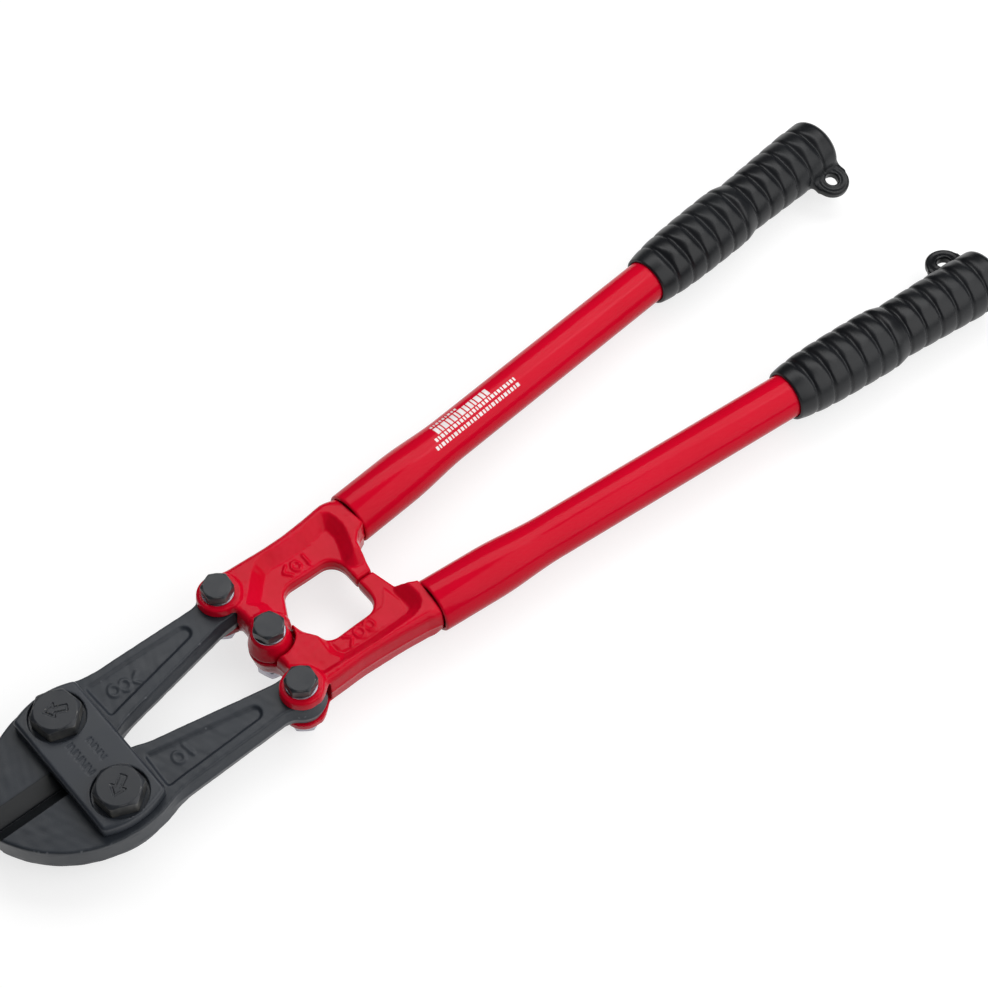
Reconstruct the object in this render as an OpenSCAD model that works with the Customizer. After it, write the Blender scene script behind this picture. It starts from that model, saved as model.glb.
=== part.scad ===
// Bolt cutters of the 18 inch size, closed and lying flat.
// +X points from the grips to the jaws, +Y to the left handle, +Z up along the bolts.
// The origin is the middle of the footprint, on the surface that the tool lies on.
// Sizes are in millimetres. "Middle" means the plane through the blades' cutting edges.

/* [Linkage] */
// Distance along the tool from the centre bolt to the link bolts
link_x = 81.2; // [72:0.1:100]
// Distance between the two link bolts
link_spread = 39.4; // [36:0.1:46]
// Distance along the tool from the centre bolt to the toggle bolts
toggle_x = 4.7; // [3:0.1:6.5]
// Distance between the two toggle bolts
toggle_spread = 51.2; // [46:0.1:62]
// Angle between the handles at full travel
open_angle = 100; // [60:1:100]

/* [Jaws] */
// Thickness of the jaw forgings
jaw_t = 11; // [9:0.1:14]
// Distance from the middle of the tool to the back of a jaw
jaw_back = 33.5; // [31:0.1:42]
// Distance from the link bolts to the tip of the nose
nose_length = 44.3; // [36:0.1:54]
// Width of the small flat that ends the nose
nose_flat = 0.9; // [0.5:0.1:4]
// Width of the bevel beside each cutting edge
bevel_w = 6.2; // [3:0.1:9]
// Distance from the link bolts forward to the start of the bevels
bevel_start = 8; // [4:0.1:12]
// Distance from the link bolts back to the root of the jaw arms
arm_root = 15.2; // [12:0.1:22]
// Distance from the middle of the tool to the outer edge of an arm
arm_outer = 30.6; // [28:0.1:36]
// Diameter of the eye at the tail of a jaw
tail_d = 18.4; // [14:0.1:20]
// Depth of the pocket in each face of an arm
pocket_depth = 1; // [0.4:0.1:2]
// Width of the rim left round a pocket
pocket_rim = 4.6; // [3:0.1:6]

/* [Link plates] */
// Thickness of a link plate
plate_t = 5.7; // [4:0.1:8]
// Width of a link plate along the tool
plate_w = 27.4; // [24:0.1:34]
// Diameter of the disc that a link plate is a strip of
plate_d = 62.6; // [58:0.1:80]
// Depth of the round seat for a bolt head or nut
seat_depth = 1.9; // [1:0.1:3]
// Diameter of the round seat
seat_d = 21.4; // [20.5:0.1:24]

/* [Yokes] */
// Thickness of the thin web of a yoke
web_t = 8.8; // [6:0.1:12]
// Thickness of the rib along the outside of a yoke
rib_t = 17; // [14:0.1:19]
// Width of the rib
rib_w = 10.5; // [8:0.1:12]
// Thickness of a yoke over its toggle ears
ear_span = 20; // [18:0.1:24]
// Diameter of a toggle ear
ear_d = 18; // [15:0.1:20]
// Diameter of the knuckle round the centre bolt
knuckle_d = 18; // [15:0.1:20]
// Distance from the centre bolt to the window's front edge
window_front = 11; // [10.5:0.1:14]
// Distance from the centre bolt to the window's rear edge
window_rear = 41.5; // [34:0.1:43]
// Distance from the middle of the tool to the window's side
window_side = 13.6; // [11:0.1:15]
// Radius of the window's rear corners
window_corner = 6; // [3:0.1:8]
// Width of the prongs that meet behind the window
prong_w = 6.6; // [5:0.1:8]

/* [Handles] */
// Distance from the centre bolt to the front end of the tubes
tube_front = 56.5; // [54:0.1:70]
// Distance between the tube axes at their front ends
tube_spread = 50.8; // [46:0.1:60]
// Angle of each tube to the middle of the tool
splay = 4.68; // [3:0.01:8]
// Outside diameter of the tubes
tube_d = 18.5; // [17:0.1:19.6]
// Outside diameter of the swelled front end of a tube
bell_d = 21.4; // [20:0.1:22.4]
// Length of the swelled front end, which a spigot on the yoke fills
bell_length = 28; // [15:1:40]
// Length over which a tube narrows behind its swelled end
bell_taper = 30; // [15:1:50]
// Wall thickness of the tubes
tube_wall = 1.5; // [1:0.1:2.5]
// Length of the tubes
tube_length = 270; // [220:1:330]

/* [Grips] */
// Length of a grip
grip_length = 107.8; // [95:0.1:130]
// Outside diameter of a grip over its fullest ring
grip_d = 26.6; // [26:0.1:30]
// Diameter of a grip at its mouth
grip_mouth_d = 21.2; // [20.8:0.1:23]
// Distance from a grip's mouth to the start of its waist
waist_start = 48; // [40:1:60]
// How far the grip's radius steps in at its waist
waist_depth = 1.4; // [0:0.1:1.8]
// Number of moulded rings in front of the end cap
ring_count = 12; // [8:1:14]
// Depth of the groove between two rings
groove_depth = 0.8; // [0.4:0.1:1.2]
// Length of the plain cap behind the last groove
cap_length = 12; // [10:0.1:16]
// Length of the rounded end of the cap
dome_length = 5.4; // [3:0.1:6]
// Thickness of the wall that closes a grip's end
grip_end_wall = 3.5; // [3:0.1:5]
// Extra distance that the left grip stands back on its tube
left_grip_setback = 4.7; // [0:0.1:6]
// Diameter of the hole in a hanging eye
eye_hole_d = 5.6; // [4:0.1:7]
// Outside diameter of a hanging eye
eye_d = 15.2; // [12:0.1:18]
// Thickness of a hanging eye
eye_t = 4; // [3:0.1:6]
// Distance from a grip's axis to its hanging eye
eye_offset = 16.3; // [16:0.1:20]
// Distance from a grip's end to its hanging eye
eye_back = 11; // [9.5:0.1:20]
// Angle that a hanging eye slopes down from its grip
eye_tilt = 10; // [0:1:20]

/* [Fasteners] */
// Diameter of the link bolts' shanks
link_bolt_d = 10; // [8:0.1:12]
// Width across flats of the link bolts and their nuts
link_hex = 17; // [16:0.1:17.6]
// Height of a link bolt's head
link_head_h = 6.9; // [5:0.1:8]
// Height of a link bolt's nut
link_nut_h = 6.4; // [5:0.1:8]
// Diameter of the toggle and centre bolts' shanks
bolt_d = 7; // [6:0.1:8]
// Width across flats of the toggle and centre bolts and their nuts
bolt_hex = 11.2; // [10.6:0.1:12]
// Height of a toggle or centre bolt's head
bolt_head_h = 4.2; // [3.6:0.1:5]
// Height of a toggle or centre bolt's nut
bolt_nut_h = 4.9; // [4:0.1:6]
// Thickness of the washers
washer_t = 0.8; // [0.5:0.1:1.6]
// Outside diameter of the washers
washer_d = 13.4; // [13:0.1:15]

/* [Clearances] */
// Gap round a bolt in its hole, on the radius
bolt_fit = 0.05; // [0.02:0.01:0.1]
// Gap between the flat faces of pieces that slide on each other
side_gap = 0.3; // [0.2:0.05:0.5]
// Gap between the two halves along the middle of the tool
middle_gap = 0.3; // [0.2:0.05:0.5]
// Gap round an eye or a knuckle that turns in a slot
swing_gap = 0.5; // [0.3:0.05:0.8]
// Gap round a spigot in its tube and a tube in its grip, on the radius
sleeve_fit = 0.05; // [0.02:0.01:0.1]
// Spare room round the right link bolt, whose pivot is left open
open_pivot_gap = 0.5; // [0.4:0.05:0.8]

/* [Hidden] */
$fn = 48;
eps = 0.01;

// Colours of the finishes
black_oxide = "#3f4349";
red_enamel = "#c8102e";
black_pvc = "#2b2d30";
zinc = "#b9b7c0";

// Pivot points of the left half, seen from above, with the centre bolt at zero
link_point = [link_x, link_spread / 2];
toggle_point = [toggle_x, toggle_spread / 2];
half_gap = middle_gap / 2;

// How far each hexagon is turned about its bolt
link_turn_right = 41;
link_turn_left = 37;
toggle_turn = 24;
centre_turn = 50;

// Levels above the middle
plate_in = jaw_t / 2 + side_gap;
plate_out = plate_in + plate_t;
seat_z = plate_out - seat_depth;
ear_in = jaw_t / 2 + side_gap;
ear_out = ear_span / 2;
rest_z = max(seat_z + link_nut_h, ear_out + washer_t + bolt_nut_h);

// Reach of the two ends from the centre bolt
tip_x = link_x + nose_length;
grip_stand = tube_length + grip_end_wall;
cap_step = 0.5;
dome_r = grip_d / 2 - cap_step;
rear_x = tube_front + (grip_stand + left_grip_setback - dome_length) * cos(splay)
    + norm([dome_length * cos(splay), dome_r * sin(splay)]);
centre_x = (rear_x - tip_x) / 2;

// Travel of the linkage: the turn of a jaw for a given turn of each handle
toggle_arm = norm(toggle_point);
toggle_angle = atan2(toggle_point[1], toggle_point[0]);
link_arm = norm(toggle_point - link_point);
function arm_angle(y) = asin((y - link_spread / 2) / link_arm);
function jaw_turn(handle) =
    arm_angle(toggle_point[1]) - arm_angle(toggle_arm * sin(toggle_angle - handle));
// The joints turn in a fixed ratio, so the open pivot strays by this much at half travel
pivot_stray = 2 * link_arm * sin(jaw_turn(open_angle / 2) / 2 - jaw_turn(open_angle / 4));

// Point on a circle, and points along an arc
function on_circle(centre, r, a) = centre + r * [cos(a), sin(a)];
function arc(centre, r, from, to, steps) =
    [for (i = [0:steps]) on_circle(centre, r, from + (to - from) * i / steps)];
// Point where a line from a point touches a circle, on the circle's lower side as seen from it
function touch_point(from, centre, r) =
    let (d = centre - from, a = atan2(d[1], d[0]) + asin(r / norm(d)))
    on_circle(centre, r, a + 90);

// ---- Placing ----

// Puts a piece that is drawn about the centre bolt and the middle plane into the tool's frame
module in_frame() {
    translate([centre_x, 0, rest_z]) children();
}

// Side is 1 for the left half and -1 for the right half
module on_side(side) {
    if (side > 0) children();
    else mirror([0, 1, 0]) children();
}

// The yokes are one forging: the right one is the left one turned over
module turned_over(side) {
    rotate([side > 0 ? 0 : 180, 0, 0]) children();
}

// Puts a piece drawn along +Z onto the axis of the left tube, starting at its front end
module along_tube() {
    translate([-tube_front, tube_spread / 2, 0])
        rotate([0, 0, 180 - splay])
            rotate([0, 90, 0]) children();
}

// ---- Fasteners ----

module hex(across, h, turn) {
    rotate([0, 0, turn]) cylinder(h = h, d = across / cos(30), $fn = 6);
}

// Head on top of z = 0, shank down from it
module hex_bolt(across, head_h, d, length, turn) {
    hex(across, head_h, turn);
    translate([0, 0, -length]) cylinder(h = length + eps, d = d);
}

// Nut that hangs down from z = 0
module hex_nut(across, h, d, turn) {
    difference() {
        translate([0, 0, -h]) hex(across, h, turn);
        translate([0, 0, -h - 1]) cylinder(h = h + 2, d = d + 2 * bolt_fit);
    }
}

module washer() {
    difference() {
        cylinder(h = washer_t, d = washer_d);
        translate([0, 0, -1]) cylinder(h = washer_t + 2, d = bolt_d + 2 * bolt_fit);
    }
}

module bolt_through(turn) {
    color(black_oxide)
        translate([0, 0, ear_out + washer_t])
            hex_bolt(bolt_hex, bolt_head_h, bolt_d, 2 * (ear_out + washer_t) + bolt_nut_h, turn);
}

module washer_above() {
    color(zinc) translate([0, 0, ear_out]) washer();
}

module washer_below() {
    color(zinc) translate([0, 0, -ear_out - washer_t]) washer();
}

module nut_below(turn) {
    color(zinc) translate([0, 0, -ear_out - washer_t]) hex_nut(bolt_hex, bolt_nut_h, bolt_d, turn);
}

module bolt_hole(point, d) {
    translate([point[0], point[1], -ear_out - 5])
        cylinder(h = 2 * ear_out + 10, d = d + 2 * bolt_fit);
}

// ---- Link plates and their bolts ----

module link_plate() {
    color(black_oxide)
        difference() {
            intersection() {
                translate([link_x, 0, plate_in]) cylinder(h = plate_t, d = plate_d, $fn = 96);
                translate([link_x - plate_w / 2, -plate_d, plate_in])
                    cube([plate_w, 2 * plate_d, plate_t]);
            }
            for (side = [-1, 1]) {
                bolt_hole([link_x, side * link_spread / 2], link_bolt_d);
                translate([link_x, side * link_spread / 2, seat_z])
                    cylinder(h = seat_depth + 1, d = seat_d);
            }
        }
}

function link_turn(side) = side > 0 ? link_turn_left : link_turn_right;

module link_bolt(side) {
    color(black_oxide)
        translate([link_x, side * link_spread / 2, seat_z])
            hex_bolt(link_hex, link_head_h, link_bolt_d, 2 * seat_z + link_nut_h, link_turn(side));
}

module link_nut(side) {
    color(zinc)
        translate([link_x, side * link_spread / 2, -seat_z])
            hex_nut(link_hex, link_nut_h, link_bolt_d, link_turn(side));
}

// ---- Jaws, drawn for the left side ----

arm_root_x = link_x - arm_root;
arm_root_clear = 4;
arm_root_in = [arm_root_x, arm_root_clear];
tail_r = tail_d / 2;
// The back is one arc, level at the link bolts, that comes down to the flat of the nose
back_fall = jaw_back - nose_flat;
jaw_back_r = (pow(back_fall, 2) + pow(nose_length, 2)) / (2 * back_fall);
back_centre = [link_x, jaw_back - jaw_back_r];
// Angle of the curved back at a distance along the tool from its centre
function back_angle(x) = acos(x / jaw_back_r);

module jaw_outline() {
    union() {
        polygon(concat(
            [[tip_x, half_gap]],
            arc(back_centre, jaw_back_r, back_angle(nose_length), back_angle(-arm_root + 3), 28),
            [
                [arm_root_x - 1, arm_outer + 0.5],
                [toggle_x + tail_r, arm_outer - 0.5],
                toggle_point,
                touch_point(arm_root_in, toggle_point, tail_r),
                arm_root_in,
                [link_x + 2, half_gap]
            ]
        ));
        translate(toggle_point) circle(r = tail_r);
    }
}

module pocket_outline() {
    tip = [toggle_x + tail_r + 10, toggle_point[1] - 3.8];
    r = 3;
    polygon([
        [arm_root_x - 1, arm_outer - pocket_rim],
        [tip[0], tip[1] + r],
        [tip[0], tip[1] - r],
        [arm_root_x - 2, arm_root_in[1] + 1.4 * pocket_rim]
    ]);
    translate(tip) circle(r = r);
}

// Wedge that cuts the bevel on the upper face
module bevel_cut() {
    translate([link_x + bevel_start, 0, 0])
        rotate([90, 0, 90])
            linear_extrude(nose_length)
                polygon([[half_gap, 0], [half_gap + bevel_w, jaw_t / 2],
                    [half_gap + bevel_w, jaw_t], [-1, jaw_t], [-1, 0]]);
}

// Hole for the pin that stays free in the opened pivot
module open_pivot_hole() {
    d = link_bolt_d + 2 * open_pivot_gap;
    for (y = [0, pivot_stray])
        bolt_hole(link_point - [0, y], d - 2 * bolt_fit);
    translate([link_x - d / 2, link_point[1] - pivot_stray, -jaw_t])
        cube([d, pivot_stray, 2 * jaw_t]);
}

module jaw(side) {
    color(black_oxide)
        on_side(side)
            difference() {
                translate([0, 0, -jaw_t / 2]) linear_extrude(jaw_t) jaw_outline();
                for (flip = [0, 1]) mirror([0, 0, flip]) {
                    bevel_cut();
                    translate([0, 0, jaw_t / 2 - pocket_depth])
                        linear_extrude(pocket_depth + 1) pocket_outline();
                }
                bolt_hole(toggle_point, bolt_d);
                if (side > 0) bolt_hole(link_point, link_bolt_d);
                else open_pivot_hole();
            }
}

// ---- Yokes, drawn for the left side ----

ear_r = ear_d / 2;
knuckle_r = knuckle_d / 2;
slot_r = tail_r + swing_gap;
rib_outer = tube_spread / 2 + tube_d / 2 - 0.3;
rib_inner = rib_outer - rib_w;
waist_x = toggle_x - 0.9;
socket_length = 6;

module web_outline() {
    difference() {
        polygon([
            [-window_rear - prong_w, half_gap],
            [-window_rear - prong_w - 1.2, 2.2],
            [-tube_front + 4.8, tube_spread / 2 - 13.5],
            [-tube_front, tube_spread / 2 - tube_d / 2 + 0.6],
            [-tube_front, rib_outer],
            [-window_rear - 4, rib_outer],
            [-0.68 * window_rear, rib_outer - 2.2],
            [toggle_x - 5, toggle_point[1] + ear_r - 1.5],
            toggle_point,
            [waist_x, toggle_point[1] - ear_r],
            [waist_x, 12],
            [waist_x + 2, half_gap]
        ]);
        window_outline();
    }
}

// Half of the window between the yokes, past the middle so that it stays open there
module window_outline() {
    past = -5;
    polygon(concat(
        [[-window_front, past], [-window_front, window_side - 8.1],
            [-window_front - 4.5, window_side - 1.5], [-window_front - 7.5, window_side]],
        arc([-window_rear + window_corner, window_side - window_corner], window_corner, 90, 180, 6),
        [[-window_rear, past]]
    ));
}

module rib_outline() {
    polygon([
        [-tube_front + 6, rib_inner],
        [-tube_front, rib_inner + 2],
        [-tube_front, rib_outer],
        [-window_rear - 4, rib_outer],
        [-0.68 * window_rear, rib_outer - 2.2],
        [toggle_x - 5, toggle_point[1] + ear_r - 1.5],
        toggle_point,
        [-8, toggle_point[1] - ear_r + 4],
        [-14, rib_inner - 0.5]
    ]);
}

// Thick boss that carries the toggle ears
module boss_outline() {
    translate(toggle_point) circle(r = ear_r);
    polygon([
        [toggle_x - 1, toggle_point[1] + ear_r - 0.1],
        [-9, toggle_point[1] + ear_r - 2],
        [-10, toggle_point[1] - 3],
        [-4, toggle_point[1] - ear_r + 1],
        [toggle_x - 1, toggle_point[1] - ear_r + 0.1]
    ]);
}

// Neck from the boss to the knuckle
module neck_outline() {
    circle(r = knuckle_r);
    polygon([
        [-7, toggle_point[1] - ear_r + 1],
        toggle_point,
        [waist_x, toggle_point[1] - ear_r],
        [waist_x, knuckle_r],
        [-window_front, 2],
        [-window_front - 3, window_side - 3]
    ]);
}

module slab(low, high) {
    translate([0, 0, low]) linear_extrude(high - low) children();
}

module yoke(side) {
    color(red_enamel)
        turned_over(side) {
            difference() {
                union() {
                    slab(-web_t / 2, web_t / 2) web_outline();
                    slab(-rib_t / 2, rib_t / 2) rib_outline();
                    slab(-ear_out, ear_out) boss_outline();
                    slab(-ear_out, -half_gap) neck_outline();
                    along_tube() translate([0, 0, -socket_length])
                        cylinder(h = socket_length, d = tube_d);
                }
                clevis_slot();
                along_tube() cylinder(h = bell_d, d = 2 * bell_d);
                translate([0, 0, -half_gap]) cylinder(h = ear_out + 1, r = knuckle_r + swing_gap);
                bolt_hole(toggle_point, bolt_d);
                bolt_hole([0, 0], bolt_d);
            }
            along_tube() translate([0, 0, -1])
                cylinder(h = bell_length + 1, d = bell_d - 2 * tube_wall - 2 * sleeve_fit);
        }
}

// Room for the tail of the jaw, open to the front and the outside
module clevis_slot() {
    slab(-ear_in, ear_in) {
        translate(toggle_point) circle(r = slot_r);
        translate([toggle_x - slot_r, toggle_point[1]]) square([3 * slot_r, 2 * slot_r]);
    }
}

// ---- Handles, drawn for the left side ----

// Radius of a tube at a distance from its front end
function tube_r(s) =
    tube_d / 2 + (bell_d - tube_d) / 2 * (1 + cos(180 * (s - bell_length) / bell_taper)) / 2;
taper_steps = 8;
taper = [for (i = [0:taper_steps]) bell_length + bell_taper * i / taper_steps];

module handle_tube(side) {
    color(red_enamel)
        on_side(side) along_tube()
            rotate_extrude()
                polygon(concat(
                    [[bell_d / 2 - tube_wall, 0], [bell_d / 2, 0]],
                    [for (s = taper) [tube_r(s), s]],
                    [[tube_d / 2, tube_length], [tube_d / 2 - tube_wall, tube_length]],
                    [for (i = [taper_steps:-1:0]) [tube_r(taper[i]) - tube_wall, taper[i]]]
                ));
}

// Radius over the rings at a distance from the grip's mouth: it swells from the mouth,
// steps in at the waist and fills out again towards the end
mouth_run = 10;
waist_run = 8;
dome_start = grip_length - dome_length;
function step_in(s) = min(max((s - waist_start) / waist_run, 0), 1);
function fill_out(s) = max(s - waist_start - waist_run, 0) / (dome_start - waist_start - waist_run);
function grip_r(s) =
    grip_d / 2 - (grip_d - grip_mouth_d) / 2 * exp(-s / mouth_run)
        - waist_depth * step_in(s) * (1 - fill_out(s));
ring_pitch = (grip_length - cap_length) / ring_count;
ring_shoulder = 0.2;

function grip_profile() = concat(
    [[0, grip_length], [0, grip_length - grip_end_wall]],
    [[tube_d / 2 + sleeve_fit, grip_length - grip_end_wall], [tube_d / 2 + sleeve_fit, 0]],
    [[grip_mouth_d / 2, 0]],
    [for (i = [0:ring_count - 1]) each [
        [grip_r((i + 0.15) * ring_pitch) - ring_shoulder, (i + 0.15) * ring_pitch],
        [grip_r((i + 0.5) * ring_pitch), (i + 0.5) * ring_pitch],
        [grip_r((i + 0.85) * ring_pitch) - ring_shoulder, (i + 0.85) * ring_pitch],
        [grip_r((i + 1) * ring_pitch) - groove_depth, (i + 1) * ring_pitch]
    ]],
    [[dome_r, grip_length - cap_length + 0.15 * ring_pitch]],
    [for (a = [0:15:75]) [dome_r * cos(a), dome_start + dome_length * sin(a)]]
);

module hanging_eye() {
    eye = [-eye_offset, grip_length - eye_back];
    rotate([90, 0, 0])
        translate([0, 0, -eye_t / 2])
            linear_extrude(eye_t)
                difference() {
                    union() {
                        translate(eye) circle(d = eye_d);
                        translate([eye[0], eye[1] - eye_d / 2])
                            square([eye_offset - tube_d / 2 - 1, eye_d]);
                    }
                    translate(eye) circle(d = eye_hole_d);
                }
}

module grip(side) {
    setback = side > 0 ? left_grip_setback : 0;
    color(black_pvc)
        on_side(side) along_tube()
            translate([0, 0, grip_stand - grip_length + setback]) {
                rotate_extrude() polygon(grip_profile());
                rotate([0, 0, -90 - eye_tilt]) hanging_eye();
            }
}

// ---- Sub-parts in the tool's frame ----

module front_link_plate() in_frame() link_plate();
module rear_link_plate() in_frame() mirror([0, 0, 1]) link_plate();
module link_bolt_right() in_frame() link_bolt(-1);
module link_bolt_left() in_frame() link_bolt(1);
module link_nut_right() in_frame() link_nut(-1);
module link_nut_left() in_frame() link_nut(1);
module jaw_right() in_frame() jaw(-1);
module jaw_left() in_frame() jaw(1);
module yoke_right() in_frame() yoke(-1);
module yoke_left() in_frame() yoke(1);
module handle_tube_right() in_frame() handle_tube(-1);
module handle_tube_left() in_frame() handle_tube(1);
module grip_right() in_frame() grip(-1);
module grip_left() in_frame() grip(1);
module centre_bolt() in_frame() bolt_through(centre_turn);
module centre_washer() in_frame() washer_above();
module centre_nut_washer() in_frame() washer_below();
module centre_nut() in_frame() nut_below(centre_turn);
module at_toggle(side) in_frame() translate([toggle_x, side * toggle_spread / 2, 0]) children();
module toggle_bolt_right() at_toggle(-1) bolt_through(toggle_turn);
module toggle_washer_right() at_toggle(-1) washer_above();
module toggle_nut_washer_right() at_toggle(-1) washer_below();
module toggle_nut_right() at_toggle(-1) nut_below(toggle_turn);
module toggle_bolt_left() at_toggle(1) bolt_through(toggle_turn);
module toggle_washer_left() at_toggle(1) washer_above();
module toggle_nut_washer_left() at_toggle(1) washer_below();
module toggle_nut_left() at_toggle(1) nut_below(toggle_turn);

front_link_plate();
rear_link_plate();
link_bolt_right();
link_bolt_left();
link_nut_right();
link_nut_left();
jaw_right();
jaw_left();
yoke_right();
yoke_left();
handle_tube_right();
handle_tube_left();
grip_right();
grip_left();
centre_bolt();
centre_washer();
centre_nut_washer();
centre_nut();
toggle_bolt_right();
toggle_washer_right();
toggle_nut_washer_right();
toggle_nut_right();
toggle_bolt_left();
toggle_washer_left();
toggle_nut_washer_left();
toggle_nut_left();
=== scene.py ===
"""Looks of a pair of 18 inch bolt cutters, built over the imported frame.

Sizes are in millimetres about the centre bolt, on the plane through the cutting edges:
x runs forward to the jaws, y to the left handle and z up along the bolts.
"""

import logging
import math
from dataclasses import dataclass, field
from enum import Enum

import bpy
import numpy as np
from mathutils import Matrix, Vector


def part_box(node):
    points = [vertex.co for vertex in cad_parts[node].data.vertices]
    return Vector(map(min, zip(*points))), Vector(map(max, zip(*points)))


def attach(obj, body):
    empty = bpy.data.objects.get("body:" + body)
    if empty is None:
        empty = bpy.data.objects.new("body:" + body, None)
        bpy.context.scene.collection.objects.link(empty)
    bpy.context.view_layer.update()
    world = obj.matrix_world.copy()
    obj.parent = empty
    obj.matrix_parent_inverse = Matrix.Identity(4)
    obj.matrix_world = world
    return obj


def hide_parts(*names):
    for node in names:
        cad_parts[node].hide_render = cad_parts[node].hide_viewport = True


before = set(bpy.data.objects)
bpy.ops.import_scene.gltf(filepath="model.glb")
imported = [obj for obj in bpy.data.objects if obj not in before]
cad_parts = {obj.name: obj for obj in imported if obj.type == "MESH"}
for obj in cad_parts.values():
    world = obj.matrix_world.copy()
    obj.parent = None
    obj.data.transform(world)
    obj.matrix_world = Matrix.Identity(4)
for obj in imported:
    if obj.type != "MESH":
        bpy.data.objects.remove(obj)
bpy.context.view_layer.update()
LOG = logging.getLogger("bolt_cutters")
MM = 0.001
# A hexagon's corners stop at this share of the radius of its flats.
HEX_CORNER = 1.135


class Side(Enum):
    """The two halves of the tool, and the sign of y on each."""

    LEFT = 1
    RIGHT = -1

    @property
    def word(self) -> str:
        """The half's name as the frame's nodes and bodies spell it."""
        return self.name.lower()


# ---- Where the frame puts things ----


def centre_point() -> Vector:
    """The centre bolt's place on the middle plane, in metres in the frame."""
    low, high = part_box("centre_bolt")
    jaw_low, jaw_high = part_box("jaw_left")
    return Vector(((low.x + high.x) / 2, (low.y + high.y) / 2, (jaw_low.z + jaw_high.z) / 2))


CENTRE = centre_point()


def span(node: str) -> tuple[np.ndarray, np.ndarray]:
    """Box of a frame node.

    Args:
        node: Name of the CAD node.

    Returns:
        Its lowest and highest corners in mm about the centre bolt.
    """
    low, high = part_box(node)
    return np.array(low - CENTRE) / MM, np.array(high - CENTRE) / MM


def middle(node: str) -> np.ndarray:
    """Middle of a frame node's box, in mm about the centre bolt."""
    low, high = span(node)
    return (low + high) / 2


def foot(node: str) -> np.ndarray:
    """Middle of the underside of a frame node's box, in mm about the centre bolt."""
    return np.array([*middle(node)[:2], span(node)[0][2]])


@dataclass(frozen=True)
class Layout:
    """Pivots and levels that the pieces share, read from the frame."""

    link: np.ndarray = field(default_factory=lambda: middle("link_bolt_left")[:2])
    toggle: np.ndarray = field(default_factory=lambda: middle("toggle_bolt_left")[:2])
    jaw_half: float = field(default_factory=lambda: span("jaw_left")[1][2])
    ear_half: float = field(default_factory=lambda: span("yoke_left")[1][2])
    washer_t: float = field(default_factory=lambda: float(np.ptp(span("centre_washer"), axis=0)[2]))
    plate_low: float = field(default_factory=lambda: span("front_link_plate")[0][2])
    plate_high: float = field(default_factory=lambda: span("front_link_plate")[1][2])
    seat_z: float = field(default_factory=lambda: -span("link_nut_left")[1][2])
    bell_r: float = field(default_factory=lambda: span("handle_tube_left")[1][2])
    tube_r: float = 9.25
    bell_length: float = 25.0
    bell_taper: float = 30.0
    splay: float = math.radians(4.68)

    @property
    def tube_front(self) -> np.ndarray:
        """Middle of the left tube's front end.

        Returns:
            Its x and y.
        """
        low, high = span("handle_tube_left")
        lean = self.bell_r * np.array([math.sin(self.splay), math.cos(self.splay)])
        return np.array([high[0] - lean[0], low[1] + lean[1]])

    @property
    def tube_length(self) -> float:
        """Length of a handle tube.

        Returns:
            The length along its own axis.
        """
        low, high = span("handle_tube_left")
        across = (self.bell_r + self.tube_r) * math.sin(self.splay)
        return float((high[0] - low[0] - across) / math.cos(self.splay))

    def tube_radius(self, s: float) -> float:
        """Radius of a tube at a distance from its swelled front end."""
        t = min(max((s - self.bell_length) / self.bell_taper, 0.0), 1.0)
        return self.tube_r + (self.bell_r - self.tube_r) * (1 + math.cos(math.pi * t)) / 2

    def along(self, x: np.ndarray, y: np.ndarray) -> tuple[np.ndarray, np.ndarray]:
        """Turns places on the left half into places along its tube.

        Args:
            x: Distances forward.
            y: Distances to the left.

        Returns:
            Distances back along the tube from its front end, and out from its axis.
        """
        dx, dy = x - self.tube_front[0], y - self.tube_front[1]
        c, s = math.cos(self.splay), math.sin(self.splay)
        return -dx * c + dy * s, dx * s + dy * c

    def on_tube(self, side: Side, places: np.ndarray) -> np.ndarray:
        """Moves places given along a tube to where they are on the tool.

        Args:
            side: Which tube.
            places: How far back each place is from the tube's front end, how far out and how far up.

        Returns:
            The places as x, y and z.
        """
        c, s, sign = math.cos(self.splay), math.sin(self.splay), side.value
        axes = np.array([[-c, sign * s, 0], [s, sign * c, 0], [0, 0, 1]])
        front_x, front_y = self.tube_front
        return np.array([front_x, sign * front_y, 0]) + places @ axes


# ---- Distances in mm, negative inside ----


def from_edge(a: np.ndarray, b: np.ndarray, x: np.ndarray, y: np.ndarray) -> np.ndarray:
    """Squared distance to the straight line between two points.

    Args:
        a: Start of the line.
        b: End of the line.
        x: Grid of x values.
        y: Grid of y values.

    Returns:
        The squared distance at each grid place.
    """
    edge = b - a
    dx, dy = x - a[0], y - a[1]
    t = np.clip((dx * edge[0] + dy * edge[1]) / (edge @ edge), 0, 1)
    return (dx - t * edge[0]) ** 2 + (dy - t * edge[1]) ** 2


def outline(points: list, x: np.ndarray, y: np.ndarray) -> np.ndarray:
    """Signed distance to a closed outline.

    Args:
        points: Corners of the outline in order.
        x: Grid of x values.
        y: Grid of y values.

    Returns:
        The distance at each grid place, negative inside the outline.
    """
    corners = np.asarray(points, float)
    nearest = np.full(np.broadcast(x, y).shape, np.inf)
    inside = np.zeros(nearest.shape, bool)
    for a, b in zip(corners, np.roll(corners, -1, axis=0)):
        nearest = np.minimum(nearest, from_edge(a, b, x, y))
        edge = b - a
        if edge[1]:
            inside ^= ((a[1] > y) != (b[1] > y)) & (x < a[0] + (y - a[1]) * edge[0] / edge[1])
    return np.where(inside, -1, 1) * np.sqrt(nearest)


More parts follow.
